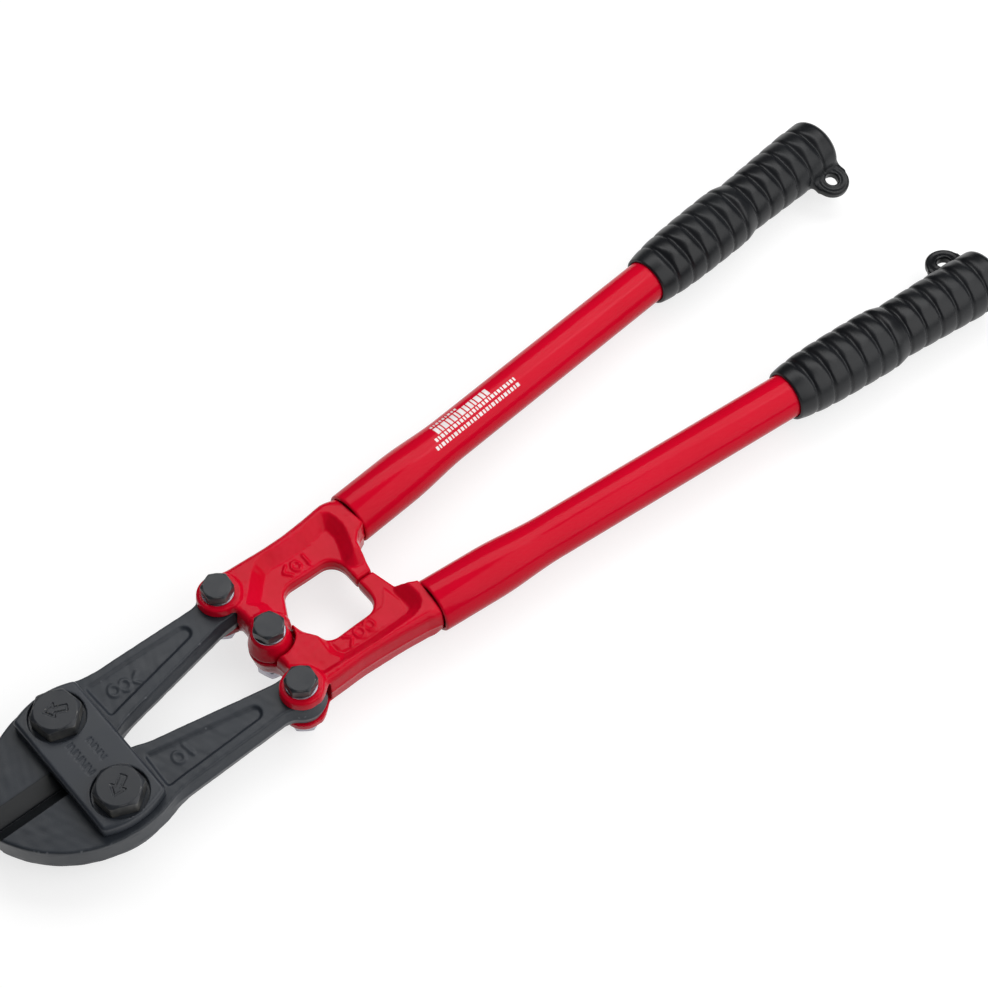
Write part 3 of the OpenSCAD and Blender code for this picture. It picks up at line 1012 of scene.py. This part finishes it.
@dataclass(frozen=True)
class Jaw:
    """A forged jaw with its arm, drawn for the left side."""

    layout: Layout
    step: float = 0.4
    nose_length: float = 44.3
    nose_flat: float = 0.9
    back: float = 33.5
    arm_root: float = 15.2
    arm_outer: float = 30.6
    arm_in: float = 4.0
    tail_r: float = 9.2
    half_gap: float = 0.02
    bolt_r: float = 3.55
    link_bolt_r: float = 5.05
    bevel_w: float = 6.2
    bevel_start: float = 8.0
    land: float = 0.5
    pocket_depth: float = 1.0
    pocket_rim: float = 4.6
    pocket_tip_r: float = 3.0
    draft: float = 0.28
    edge_r: float = 0.6
    flash: float = 0.15
    flash_half: float = 0.45
    mark_depth: float = 0.3
    roughness: float = 0.05
    open_slot: float = 4.0
    open_slot_r: float = 5.5

    @property
    def back_r(self) -> float:
        """Radius of the curved back, level at the link bolt and down to the nose's flat."""
        fall = self.back - self.nose_flat
        return (fall**2 + self.nose_length**2) / (2 * fall)

    def back_arc(self, steps: int = 40) -> list:
        """Points on the curved back from the nose to the heel.

        Args:
            steps: How many points.

        Returns:
            The points.
        """
        x0 = self.layout.link[0]
        xs = np.linspace(self.nose_length, 3 - self.arm_root, steps)
        return [(x0 + u, self.back - self.back_r + math.sqrt(self.back_r**2 - u * u)) for u in xs]

    def plan(self, x: np.ndarray, y: np.ndarray) -> np.ndarray:
        """Signed distance to the jaw's plan.

        Args:
            x: Grid of x values.
            y: Grid of y values.

        Returns:
            The distance at each grid place.
        """
        lx = self.layout.link[0]
        tx, ty = self.layout.toggle
        root = lx - self.arm_root
        chord = np.array([root - tx, self.arm_in - ty])
        lean = math.atan2(ty - self.arm_in, tx - root) + math.pi / 2
        lean += math.asin(self.tail_r / np.hypot(*chord))
        touch = (tx + self.tail_r * math.cos(lean), ty + self.tail_r * math.sin(lean))
        body = outline(
            [(lx + self.nose_length, self.half_gap)]
            + self.back_arc()
            + [
                (root - 1, self.arm_outer + 0.5), (tx + self.tail_r, self.arm_outer - 0.5), (tx, ty),
                touch, (root, self.arm_in), (lx + 2, self.half_gap),
            ],
            x, y,
        )
        return join(body, disc((tx, ty), self.tail_r, x, y), 2.5)

    def pocket(self, x: np.ndarray, y: np.ndarray) -> np.ndarray:
        """Signed distance to the plan of the sunk pocket in an arm.

        Args:
            x: Grid of x values.
            y: Grid of y values.

        Returns:
            The distance at each grid place.
        """
        tx, ty = self.layout.toggle
        root = self.layout.link[0] - self.arm_root
        tip = (tx + self.tail_r + self.pocket_tip_r + 7, ty - 3.8)
        r = self.pocket_tip_r
        wedge = [
            (root - 0.6, self.arm_outer - self.pocket_rim), (tip[0], tip[1] + r),
            (tip[0], tip[1] - r), (root - 1.2, self.arm_in + 1.4 * self.pocket_rim),
        ]
        return np.minimum(rounded(wedge, 1.2, x, y), disc(tip, r, x, y))

    def carve(self, side: Side) -> Carving:
        """Carves one jaw, as if it were the left one.

        Args:
            side: Which jaw; the right one has the loose hole of the open pivot.

        Returns:
            The carved solid.
        """
        lx = self.layout.link[0]
        tx, ty = self.layout.toggle
        half = self.layout.jaw_half
        high = [lx + self.nose_length, ty + self.tail_r, half]
        solid = Carving([tx - self.tail_r, 0, -half], high, self.step)
        x, y, z = solid.x, solid.y, solid.z
        plan = self.plan(x, y)
        arm = 1 - ramp(x + 0 * y, lx - self.arm_root - 8, lx - self.arm_root + 4)
        flash = self.flash * np.exp(-((z / self.flash_half) ** 2))
        walls = plan + arm * (self.draft * np.abs(z) - flash)
        solid.d = share(walls, np.abs(z) - half, self.edge_r)
        sunk = self.pocket(x, y)
        floor = np.clip(self.pocket_depth - 2.0 * np.maximum(sunk + 0.4, 0), 0, self.pocket_depth)
        shapes = ">oo" if side is Side.RIGHT else "|o"
        mark = Relief(5.6, 4.6, shapes).distance((53.0, 18.2), 8.0, x, y)
        floor = floor - self.mark_depth * ramp(0.5 - np.abs(mark - 0.3), 0, 0.3)
        solid.cut(half - floor - np.abs(z) + 0 * sunk)
        solid.soften()
        solid.d = solid.d + self.roughness * lumps(solid, 2.2, 21) * (np.abs(z) > half - 2.5)
        slope = half / self.bevel_w
        wedge = (slope * (y + self.land) - np.abs(z)) / math.hypot(1, slope)
        solid.cut(np.maximum(wedge, lx + self.bevel_start - x), 0.1)
        solid.d = share(solid.d, self.half_gap - y + 0 * x + 0 * z, 0.1)
        holes = np.minimum(disc((tx, ty), self.bolt_r, x, y), self.link_hole(side, x, y))
        solid.cut(holes + 0 * z, 0.3)
        return solid

    def link_hole(self, side: Side, x: np.ndarray, y: np.ndarray) -> np.ndarray:
        """Signed distance to the link bolt's hole, a slot in the right jaw.

        Args:
            side: Which jaw.
            x: Grid of x values.
            y: Grid of y values.

        Returns:
            The distance at each grid place.
        """
        if side is Side.LEFT:
            return disc(self.layout.link, self.link_bolt_r, x, y)
        lx, ly = self.layout.link
        return strokes([[(lx, ly), (lx, ly - self.open_slot)]], x, y) - self.open_slot_r

    def build(self) -> None:
        """Builds both jaws."""
        oxide, ground = OXIDE_FORGING.material(), OXIDE_GROUND_PAINTED_SHADE.material()
        for side in Side:
            points, faces = self.carve(side).skin()
            # Faces on the ground bevels, which take the finish whose extra darkness is painted shade.
            lean = np.abs(points[faces].mean(axis=1))
            bevel = (lean[:, 0] > self.layout.link[0] + self.bevel_start) & (
                lean[:, 1] < self.bevel_w * lean[:, 2] / self.layout.jaw_half - self.land + 0.35
            )
            if side is Side.RIGHT:
                points, faces = points * np.array([1, -1, 1]), faces[:, ::-1]
            made = piece(f"jaw_{side.word}_forged", points, faces)
            fit(made, f"{side.word}_jaw", f"jaw_{side.word}", oxide)
            # The bevels get the darker finish: painted shade over a slicker ground surface.
            made.data.materials.append(ground)
            made.data.polygons.foreach_set("material_index", bevel.astype(np.int32))


@dataclass(frozen=True)
class LinkPlate:
    """The two plates that tie the jaws together, a strip of a disc each."""

    layout: Layout
    step: float = 0.35
    width: float = 27.4
    disc_r: float = 31.3
    seat_r: float = 10.7
    chamfer: float = 0.9
    bolt_r: float = 5.05
    stamp_depth: float = 0.22
    stamp_half_w: float = 0.36
    # Each row of stamped bars: how many, their pitch, half their length, and the row's place.
    stamp_rows: tuple = ((9, 1.75, 1.25, 3.4), (7, 1.6, 1.0, -3.6))

    def carve(self, marked: bool) -> Carving:
        """Carves the front plate.

        Args:
            marked: Whether its outer face has the stamped marks.

        Returns:
            The carved solid.
        """
        (lx, ly), low, high = self.layout.link, self.layout.plate_low, self.layout.plate_high
        half = self.width / 2
        solid = Carving([lx - half, -self.disc_r, low], [lx + half, self.disc_r, high], self.step)
        x, y, z = solid.x, solid.y, solid.z
        plan = share(np.abs(x - lx) - half + 0 * y, disc((lx, 0), self.disc_r, x, y), 1.0)
        solid.d = share(plan + 0 * z, np.maximum(z - high, low - z), 0.35)
        solid.d = np.maximum(solid.d, (plan + z - high + self.chamfer) / math.sqrt(2))
        solid.soften()
        for y0 in (-ly, ly):
            spot = np.hypot(x - lx, y - y0)
            solid.cut(np.maximum(spot - self.seat_r, self.layout.seat_z - z), 0.15)
            solid.cut(spot - self.bolt_r + 0 * z, 0.2)
        if marked:
            sunk = self.stamp_depth * ramp(self.stamp_half_w - self.stamps(x, y), 0, 0.25)
            solid.d = solid.d + sunk * (z > high - 1)
        return solid

    def stamps(self, x: np.ndarray, y: np.ndarray) -> np.ndarray:
        """Distance to two rows of short stamped bars between the bolts.

        Args:
            x: Grid of x values.
            y: Grid of y values.

        Returns:
            The distance at each grid place.
        """
        rows = []
        for count, pitch, tall, offset in self.stamp_rows:
            at = self.layout.link[0] + offset
            for i in range(count):
                y0 = (i - (count - 1) / 2) * pitch
                slant = 0.5 if i % 2 else 0.0
                rows.append([(at - tall, y0 - slant), (at + tall, y0 + slant)])
        return strokes(rows, x, y)

    def build(self) -> None:
        """Builds the front plate and the rear one."""
        oxide = OXIDE_PLATE.material()
        for place, flip in (("front", 1), ("rear", -1)):
            points, faces = self.carve(flip > 0).skin()
            if flip < 0:
                points, faces = points * np.array([1, 1, -1]), faces[:, ::-1]
            made = piece(f"{place}_link_plate_stamped", points, faces)
            fit(made, "link", f"{place}_link_plate", oxide)


@dataclass(frozen=True)
class Arrow:
    """An outlined arrow stamped in a bolt head."""

    length: float = 8.4
    head: float = 3.7
    width: float = 5.4
    shaft: float = 2.3
    line: float = 0.42
    depth: float = 0.35

    def sink(self, points: np.ndarray, turn: float) -> np.ndarray:
        """How deep the arrow is at some points about the head's middle.

        Args:
            points: Points with x and y about the middle.
            turn: Way that the arrow points, in degrees from x.

        Returns:
            The depth at each point.
        """
        c, s = math.cos(math.radians(turn)), math.sin(math.radians(turn))
        u, v = points[:, 0] * c + points[:, 1] * s, points[:, 1] * c - points[:, 0] * s
        tip, neck, tail = self.length / 2, self.length / 2 - self.head, -self.length / 2
        half, thin = self.width / 2, self.shaft / 2
        path = [
            (tip, 0), (neck, half), (neck, thin), (tail, thin), (tail, -thin), (neck, -thin),
            (neck, -half), (tip, 0),
        ]
        return self.depth * ramp(self.line + 0.12 - strokes([path], u, v), 0, 0.25)


@dataclass(frozen=True)
class HexBolt:
    """A cold-headed hexagon bolt that hangs from its seat."""

    node_name: str
    body: str
    across: float
    head: float
    shank_r: float
    turn: float
    arrow_turn: float | None = None
    facets: int = 144
    face: float = 0.93
    chamfer: float = 0.5
    shank_chamfer: float = 0.8
    edge: float = 0.35
    fine: float = 0.2
    coarse: float = 1.2

    def build(self, material: bpy.types.Material) -> None:
        """Builds the bolt where its CAD node is.

        Args:
            material: Its finish.
        """
        bottom = -np.ptp(span(self.node_name), axis=0)[2] + self.head
        at = foot(self.node_name) - [0, 0, bottom]
        n, top = self.facets, self.head
        r_hex, r_face = hexagon(self.across, self.turn, n), self.across / 2 * self.face
        shoulder = top - self.chamfer * (r_hex - r_face)
        marked = self.arrow_turn is not None
        profile = [
            (self.shank_r - self.shank_chamfer, bottom), (self.shank_r, bottom + self.shank_chamfer),
            (self.shank_r, -0.01), (self.across / 2 - 0.4, 0.0), (r_hex - self.edge, 0.0), (r_hex, self.edge),
            (r_hex, shoulder - 0.25), (r_hex - 0.3, shoulder), (r_face + 0.3, top - 0.13), (r_face, top),
        ]
        steps = np.arange(r_face - self.fine, 0.1, -self.fine if marked else -self.coarse)
        rings = [circle(r, z, n) for r, z in profile + [(r, top) for r in steps]]
        if marked:
            for ring in rings[-int((r_face - 0.3) / self.fine) :]:
                ring[:, 2] -= Arrow().sink(ring, self.arrow_turn)
        points, faces = loft(rings)
        made = piece(f"{self.node_name}_headed", points + at, faces, 32)
        fit(made, self.body, self.node_name, material)


@dataclass(frozen=True)
class HexNut:
    """A zinc-plated nut with both its faces chamfered."""

    node_name: str
    body: str
    across: float
    bore_r: float
    turn: float
    facets: int = 96
    face: float = 0.95
    chamfer: float = 0.5

    def build(self, material: bpy.types.Material) -> None:
        """Builds the nut where its CAD node is.

        Args:
            material: Its finish.
        """
        tall = np.ptp(span(self.node_name), axis=0)[2]
        r_hex = hexagon(self.across, self.turn, self.facets)
        r_face, mouth = self.across / 2 * self.face, self.bore_r + self.chamfer
        drop = self.chamfer * (r_hex - r_face)
        half = [
            (self.bore_r, self.chamfer), (mouth, 0.0), (r_face, 0.0), (r_hex - 0.15, drop),
            (r_hex, drop + 0.25),
        ]
        profile = half + [(r, tall - z) for r, z in reversed(half)] + half[:1]
        points, faces = spin(profile, self.facets, (False, False))
        made = piece(f"{self.node_name}_zinc", points + foot(self.node_name), faces, 32)
        fit(made, self.body, self.node_name, material)


@dataclass(frozen=True)
class Washer:
    """A zinc-plated washer, rounded on its punched side."""

    node_name: str
    body: str
    bore_r: float = 3.55
    inset: float = 0.45

    def build(self, material: bpy.types.Material) -> None:
        """Builds the washer where its CAD node is.

        Args:
            material: Its finish.
        """
        width, _, t = np.ptp(span(self.node_name), axis=0)
        r = width / 2 - self.inset
        profile = [
            (self.bore_r, 0), (r - 0.2, 0), (r, 0.15), (r, t - 0.3), (r - 0.1, t - 0.1), (r - 0.35, t),
            (self.bore_r + 0.15, t), (self.bore_r, t - 0.15), (self.bore_r, 0),
        ]
        points, faces = spin(profile, 72, (False, False))
        made = piece(f"{self.node_name}_zinc", points + foot(self.node_name), faces, 50)
        fit(made, self.body, self.node_name, material)


@dataclass(frozen=True)
class HandleTube:
    """A drawn steel tube, swelled at its front end where it is pressed onto the yoke."""

    layout: Layout
    wall: float = 1.5
    lip: float = 0.9

    def build(self) -> None:
        """Builds both tubes."""
        enamel = ENAMEL_ON_TUBE.material()
        front, r, length = self.layout.bell_r, self.layout.tube_r, self.layout.tube_length
        lip, inside = self.lip, r - self.wall
        profile = [(front - self.wall, 1.0), (front - self.wall, 0.2), (front - lip, 0.0)]
        for a in (0.5, 1.1, 1.57):
            profile.append((front - lip + lip * math.sin(a), lip - lip * math.cos(a)))
        taper_start = self.layout.bell_length
        for s in np.linspace(taper_start, taper_start + self.layout.bell_taper, 40):
            profile.append((self.layout.tube_radius(s), s))
        profile += [(r, length - 0.5), (r - 0.5, length), (inside, length), (inside, length - 2)]
        for side in Side:
            points, faces = spin(profile, 96, (False, False))
            placed = self.layout.on_tube(side, points[:, [2, 0, 1]])
            if side is Side.LEFT:
                faces = [f[::-1] for f in faces]
            made = piece(f"handle_tube_{side.word}_enamelled", placed, faces, 40)
            fit(made, f"{side.word}_handle", f"handle_tube_{side.word}", enamel)


@dataclass(frozen=True)
class PrintedLabel:
    """A screen-printed panel of plain bars on the right tube, with no words on it."""

    layout: Layout
    start: float = 45.0
    lift: float = 0.04
    gap: float = 0.62
    dashes: tuple = (1.3, 0.8, 1.6, 1.1)
    # Each row: its angle round the tube in degrees, its height, and where it starts and ends.
    rows: tuple = (
        (-29.0, 1.3, 3.0, 17.0), (-9.0, 3.5, 3.0, 32.0), (10.5, 1.6, 0.0, 44.0), (27.5, 1.6, -2.0, 44.0),
    )

    def build(self) -> None:
        """Builds the bars as thin curved skins on the tube."""
        points, faces = [], []
        for angle, tall, begin, end in self.rows:
            half = math.degrees(tall / 2 / self.layout.tube_r)
            dash, s = 0, begin
            while s < end - 0.5:
                width = self.dashes[dash % len(self.dashes)] * (tall / 2.0) ** 0.5
                self.bar(points, faces, self.start + s, min(width, end - s), angle - half, angle + half)
                s += width + self.gap
                dash += 1
        made = piece("handle_label_printed", self.layout.on_tube(Side.RIGHT, np.array(points)), faces)
        fit(made, "right_handle", "", PRINTED_INK.material())

    def bar(
        self, points: list, faces: list, s: float, width: float, low: float, high: float
    ) -> None:
        """Adds one bar.

        Args:
            points: Vertices so far, as places along the tube.
            faces: Faces so far.
            s: Where it starts along the tube.
            width: Its size along the tube.
            low: Angle of its upper edge round the tube, in degrees.
            high: Angle of its lower edge.
        """
        first, steps = len(points), 8
        for i in range(steps + 1):
            a = math.radians(low + (high - low) * i / steps)
            for end in (s, s + width):
                r = self.layout.tube_radius(end) + self.lift
                points.append((end, -r * math.sin(a), r * math.cos(a)))
        for i in range(steps):
            k = first + 2 * i
            faces.append((k, k + 1, k + 3, k + 2))


@dataclass(frozen=True)
class Grip:
    """A dip-moulded grip with rounded rings, a rounded end and a hanging eye on its inner side."""

    layout: Layout
    node_name: str
    side: Side
    step: float = 0.4
    length: float = 107.8
    full_r: float = 13.3
    mouth_r: float = 10.6
    mouth_run: float = 10.0
    waist_start: float = 48.0
    waist_run: float = 8.0
    waist: float = 1.4
    rings: int = 12
    cap: float = 12.0
    dome: float = 5.4
    dome_r: float = 12.8
    groove: float = 0.55
    groove_w: float = 0.65
    lens: float = 0.5
    lens_w: float = 0.9
    lens_turn: float = math.radians(15)
    crowning: float = 0.22
    eye_offset: float = 16.3
    eye_back: float = 11.0
    eye_r: float = 7.6
    eye_hole_r: float = 2.8
    eye_half: float = 1.6
    eye_tilt: float = math.radians(10)
    rim: float = 0.4
    bore_gap: float = 0.05
    end_wall: float = 3.5

    def mouth(self) -> float:
        """Distance of the grip's mouth along its tube.

        Returns:
            The distance from the tube's front end.
        """
        low, _ = span(self.node_name)
        c, s = math.cos(self.layout.splay), math.sin(self.layout.splay)
        far = (self.layout.tube_front[0] - low[0]) - math.hypot(self.dome * c, self.dome_r * s)
        return far / c + self.dome - self.length

    def envelope(self, s: np.ndarray) -> np.ndarray:
        """Radius over the rings at a distance from the mouth.

        Args:
            s: Distances from the mouth.

        Returns:
            The radius at each distance.
        """
        start = self.waist_start + self.waist_run
        fill = np.maximum(s - start, 0) / (self.length - self.dome - start)
        swell = self.full_r - (self.full_r - self.mouth_r) * np.exp(-s / self.mouth_run)
        swell = swell - self.waist * ramp(s, self.waist_start, start) * (1 - fill)
        past = np.clip((s - self.length + self.dome) / self.dome, 0, 0.999)
        cap = self.dome_r + 4 * (1 - ramp(s, self.length - self.cap - 3, self.length - self.cap))
        return np.minimum(swell, cap * np.sqrt(1 - past**2))

    def radius(self, s: np.ndarray, spine: np.ndarray) -> np.ndarray:
        """Radius of the grip, with the grooves between its rings.

        Args:
            s: Distances from its mouth.
            spine: How near each place is to the top or bottom line, from 0 to 1.

        Returns:
            The radius, with grooves that widen like a lens along the top and the bottom.
        """
        pitch = (self.length - self.cap) / self.rings
        phase = s / pitch
        lobe = np.abs(phase - np.clip(np.round(phase), 1, self.rings)) * pitch
        lens = spine**8
        dip = (self.groove + self.lens * lens) * np.exp(-((lobe / (self.groove_w + self.lens_w * lens)) ** 2))
        crown = self.crowning * np.maximum(1 - 2 * lobe / pitch, 0) ** 2
        return self.envelope(s) - dip - crown

    def carve(self) -> Carving:
        """Carves the grip along its own axis.

        Returns:
            The carved solid, its x back from the mouth, y out and z up.
        """
        length = self.length
        reach = self.eye_offset + self.eye_r
        solid = Carving([0, -reach, -self.full_r], [length, self.full_r, self.full_r], self.step)
        s, out, up = solid.x, solid.y, solid.z
        around = np.maximum(np.hypot(out, up), 0.1)
        spine = np.abs(up * math.cos(self.lens_turn) - out * math.sin(self.lens_turn)) / around
        tall = self.radius(s, spine)
        slope = np.gradient(tall, self.step, axis=0)
        skin = (around - tall) / np.sqrt(1 + slope**2)
        skin = share(skin, s - length + 0 * around, 0.3)
        skin = share(skin, -s + 0 * around, 0.5)
        c, t = math.cos(self.eye_tilt), math.sin(self.eye_tilt)
        leaf_out, leaf_up = out * c + up * t, up * c - out * t
        middle_s = length - self.eye_back
        spot = np.hypot(s - middle_s, leaf_out + self.eye_offset)
        neck = np.maximum(
            np.abs(s - middle_s) - self.eye_r, np.maximum(leaf_out, -self.eye_offset - leaf_out)
        )
        flat = join(spot - self.eye_r, neck, 2.0)
        lift = self.rim * np.exp(-(((spot - self.eye_r + 1.1) / 0.8) ** 2))
        lift = lift + self.rim * np.exp(-(((spot - self.eye_hole_r - 0.9) / 0.7) ** 2))
        eye = share(flat, np.abs(leaf_up) - self.eye_half - lift, 0.8)
        solid.d = join(skin, eye, 2.2)
        solid.cut(spot - self.eye_hole_r, 0.5)
        bore = around - self.layout.tube_r - self.bore_gap
        solid.cut(np.maximum(bore, s - length + self.end_wall), 0.3)
        return solid

    def build(self, material: bpy.types.Material) -> None:
        """Builds the grip where its CAD node is.

        Args:
            material: Its finish.
        """
        points, faces = self.carve().skin()
        placed = self.layout.on_tube(self.side, points + [self.mouth(), 0, 0])
        if self.side is Side.LEFT:
            faces = faces[:, ::-1]
        made = piece(f"{self.node_name}_moulded", placed, faces)
        fit(made, f"{self.side.word}_handle", self.node_name, material)


# ---- Studio ----


@dataclass(frozen=True)
class SoftBox:
    """A soft light: a flat panel that faces the tool."""

    name: str
    azimuth: float
    elevation: float
    distance: float
    width: float
    height: float
    power: float

    def place(self, target: Vector) -> None:
        """Puts the light in the scene.

        Args:
            target: What it is aimed at.
        """
        a, e = math.radians(self.azimuth), math.radians(self.elevation)
        way = Vector((math.cos(a) * math.cos(e), math.sin(a) * math.cos(e), math.sin(e)))
        light = bpy.data.lights.new(self.name, "AREA")
        light.shape, light.size, light.size_y = "RECTANGLE", self.width, self.height
        light.energy = self.power
        holder = bpy.data.objects.new(self.name, light)
        holder.location = target + way * self.distance
        holder.rotation_euler = way.to_track_quat("Z", "Y").to_euler()
        bpy.context.scene.collection.objects.link(holder)


@dataclass(frozen=True)
class Studio:
    """The floor, the soft lights and the camera.

    The camera aims at a place in mm about the centre bolt, from a distance in mm. The room and
    the lights are in metres.
    """

    aim: tuple = (-107.236, 1.321, 0.0)
    azimuth: float = 49.58
    elevation: float = 56.76
    roll: float = 0.741
    distance: float = 1015.55
    lens: float = 95.47
    sensor: float = 36.0
    room: float = 6.0
    sky: float = 0.3
    glow: float = 0.7
    boxes: tuple = (
        SoftBox("soft_box_near", 121.0, 41.0, 1.0, 1.1, 1.2, 7.5),
        SoftBox("soft_box_over", 223.0, 60.0, 1.0, 1.2, 0.5, 5.5),
    )

    def build(self) -> None:
        """Builds the whole studio."""
        self.floor()
        self.lights()
        self.camera()

    def floor(self) -> None:
        """Lays the pale floor that the tool rests on."""
        half = self.room / 2
        mesh = bpy.data.meshes.new("pale_floor")
        corners = [(-half, -half, 0), (half, -half, 0), (half, half, 0), (-half, half, 0)]
        mesh.from_pydata(corners, [], [(0, 1, 2, 3)])
        ground = bpy.data.objects.new("pale_floor", mesh)
        ground.data.materials.append(self.board())
        bpy.context.scene.collection.objects.link(ground)

    def board(self) -> bpy.types.Material:
        """Makes the floor's material, which glows so that it stays pale but lights the tool little.

        Returns:
            The material.
        """
        made = PALE_FLOOR.material()
        tree = made.node_tree
        shader = tree.nodes["Principled BSDF"]
        shader.inputs["Emission Color"].default_value = linear("#ffffff")
        path = node(tree, "ShaderNodeLightPath")
        seen = node(
            tree,
            "ShaderNodeMath",
            {},
            {0: path.outputs["Is Camera Ray"], 1: path.outputs["Is Glossy Ray"]},
            operation="MAXIMUM",
        ).outputs["Value"]
        glow = node(
            tree, "ShaderNodeMath", {1: self.glow}, {0: seen}, operation="MULTIPLY"
        ).outputs["Value"]
        tree.links.new(glow, shader.inputs["Emission Strength"])
        return made

    def lights(self) -> None:
        """Hangs the soft boxes and sets the dim even light of the room."""
        world = bpy.data.worlds.new("studio_room")
        world.use_nodes = True
        back = world.node_tree.nodes.get("Background") or world.node_tree.nodes.new("ShaderNodeBackground")
        back.inputs["Color"].default_value = (1, 1, 1, 1)
        back.inputs["Strength"].default_value = self.sky
        world.cycles_visibility.glossy = False
        bpy.context.scene.world = world
        for box in self.boxes:
            box.place(Vector((0, 0, 0)))

    def camera(self) -> None:
        """Sets up the camera, aimed at a place measured from the centre bolt."""
        a, e = math.radians(self.azimuth), math.radians(self.elevation)
        back = Vector((math.cos(a) * math.cos(e), math.sin(a) * math.cos(e), math.sin(e)))
        level = Vector((-math.sin(a), math.cos(a), 0))
        up = back.cross(level)
        turn = math.radians(self.roll)
        right = level * math.cos(turn) + up * math.sin(turn)
        upward = back.cross(right)
        data = bpy.data.cameras.new("studio_camera")
        data.lens, data.sensor_width, data.clip_end = self.lens, self.sensor, 20.0
        holder = bpy.data.objects.new("studio_camera", data)
        eye = CENTRE + (Vector(self.aim) + back * self.distance) * MM
        holder.matrix_world = Matrix.Translation(eye) @ Matrix(
            (right, upward, back)
        ).transposed().to_4x4()
        bpy.context.scene.collection.objects.link(holder)
        bpy.context.scene.camera = holder
        bpy.context.scene.view_settings.view_transform = "Standard"


def fasteners(layout: Layout) -> None:
    """Builds the bolts, nuts and washers.

    Args:
        layout: Where the frame puts the pivots; not used.
    """
    black, zinc = OXIDE_BOLT.material(), ZINC_PLATE.material()
    for side, turn, arrow in ((Side.RIGHT, 41.0, -26.0), (Side.LEFT, 37.0, 32.0)):
        HexBolt(f"link_bolt_{side.word}", "link", 17.0, 6.9, 5.0, turn, arrow).build(black)
        HexNut(f"link_nut_{side.word}", "link", 17.0, 5.05, turn).build(zinc)
    for place, body, turn in (
        ("centre", "right_handle", 50.0),
        ("toggle", "right_handle", 24.0),
        ("toggle", "left_handle", 24.0),
    ):
        tail = "" if place == "centre" else "_" + body.split("_")[0]
        HexBolt(f"{place}_bolt{tail}", body, 11.2, 4.2, 3.5, turn).build(black)
        HexNut(f"{place}_nut{tail}", body, 11.2, 3.55, turn).build(zinc)
        Washer(f"{place}_washer{tail}", body).build(zinc)
        Washer(f"{place}_nut_washer{tail}", body).build(zinc)


def main() -> None:
    """Builds the tool and the studio."""
    logging.basicConfig(level=logging.INFO, format="%(name)s: %(message)s")
    layout = Layout()
    Studio().build()
    Yoke(layout).build()
    Jaw(layout).build()
    LinkPlate(layout).build()
    fasteners(layout)
    HandleTube(layout).build()
    PrintedLabel(layout).build()
    pvc = MOULDED_PVC.material()
    for side in Side:
        Grip(layout, f"grip_{side.word}", side).build(pvc)


if __name__ == "__main__":
    main()
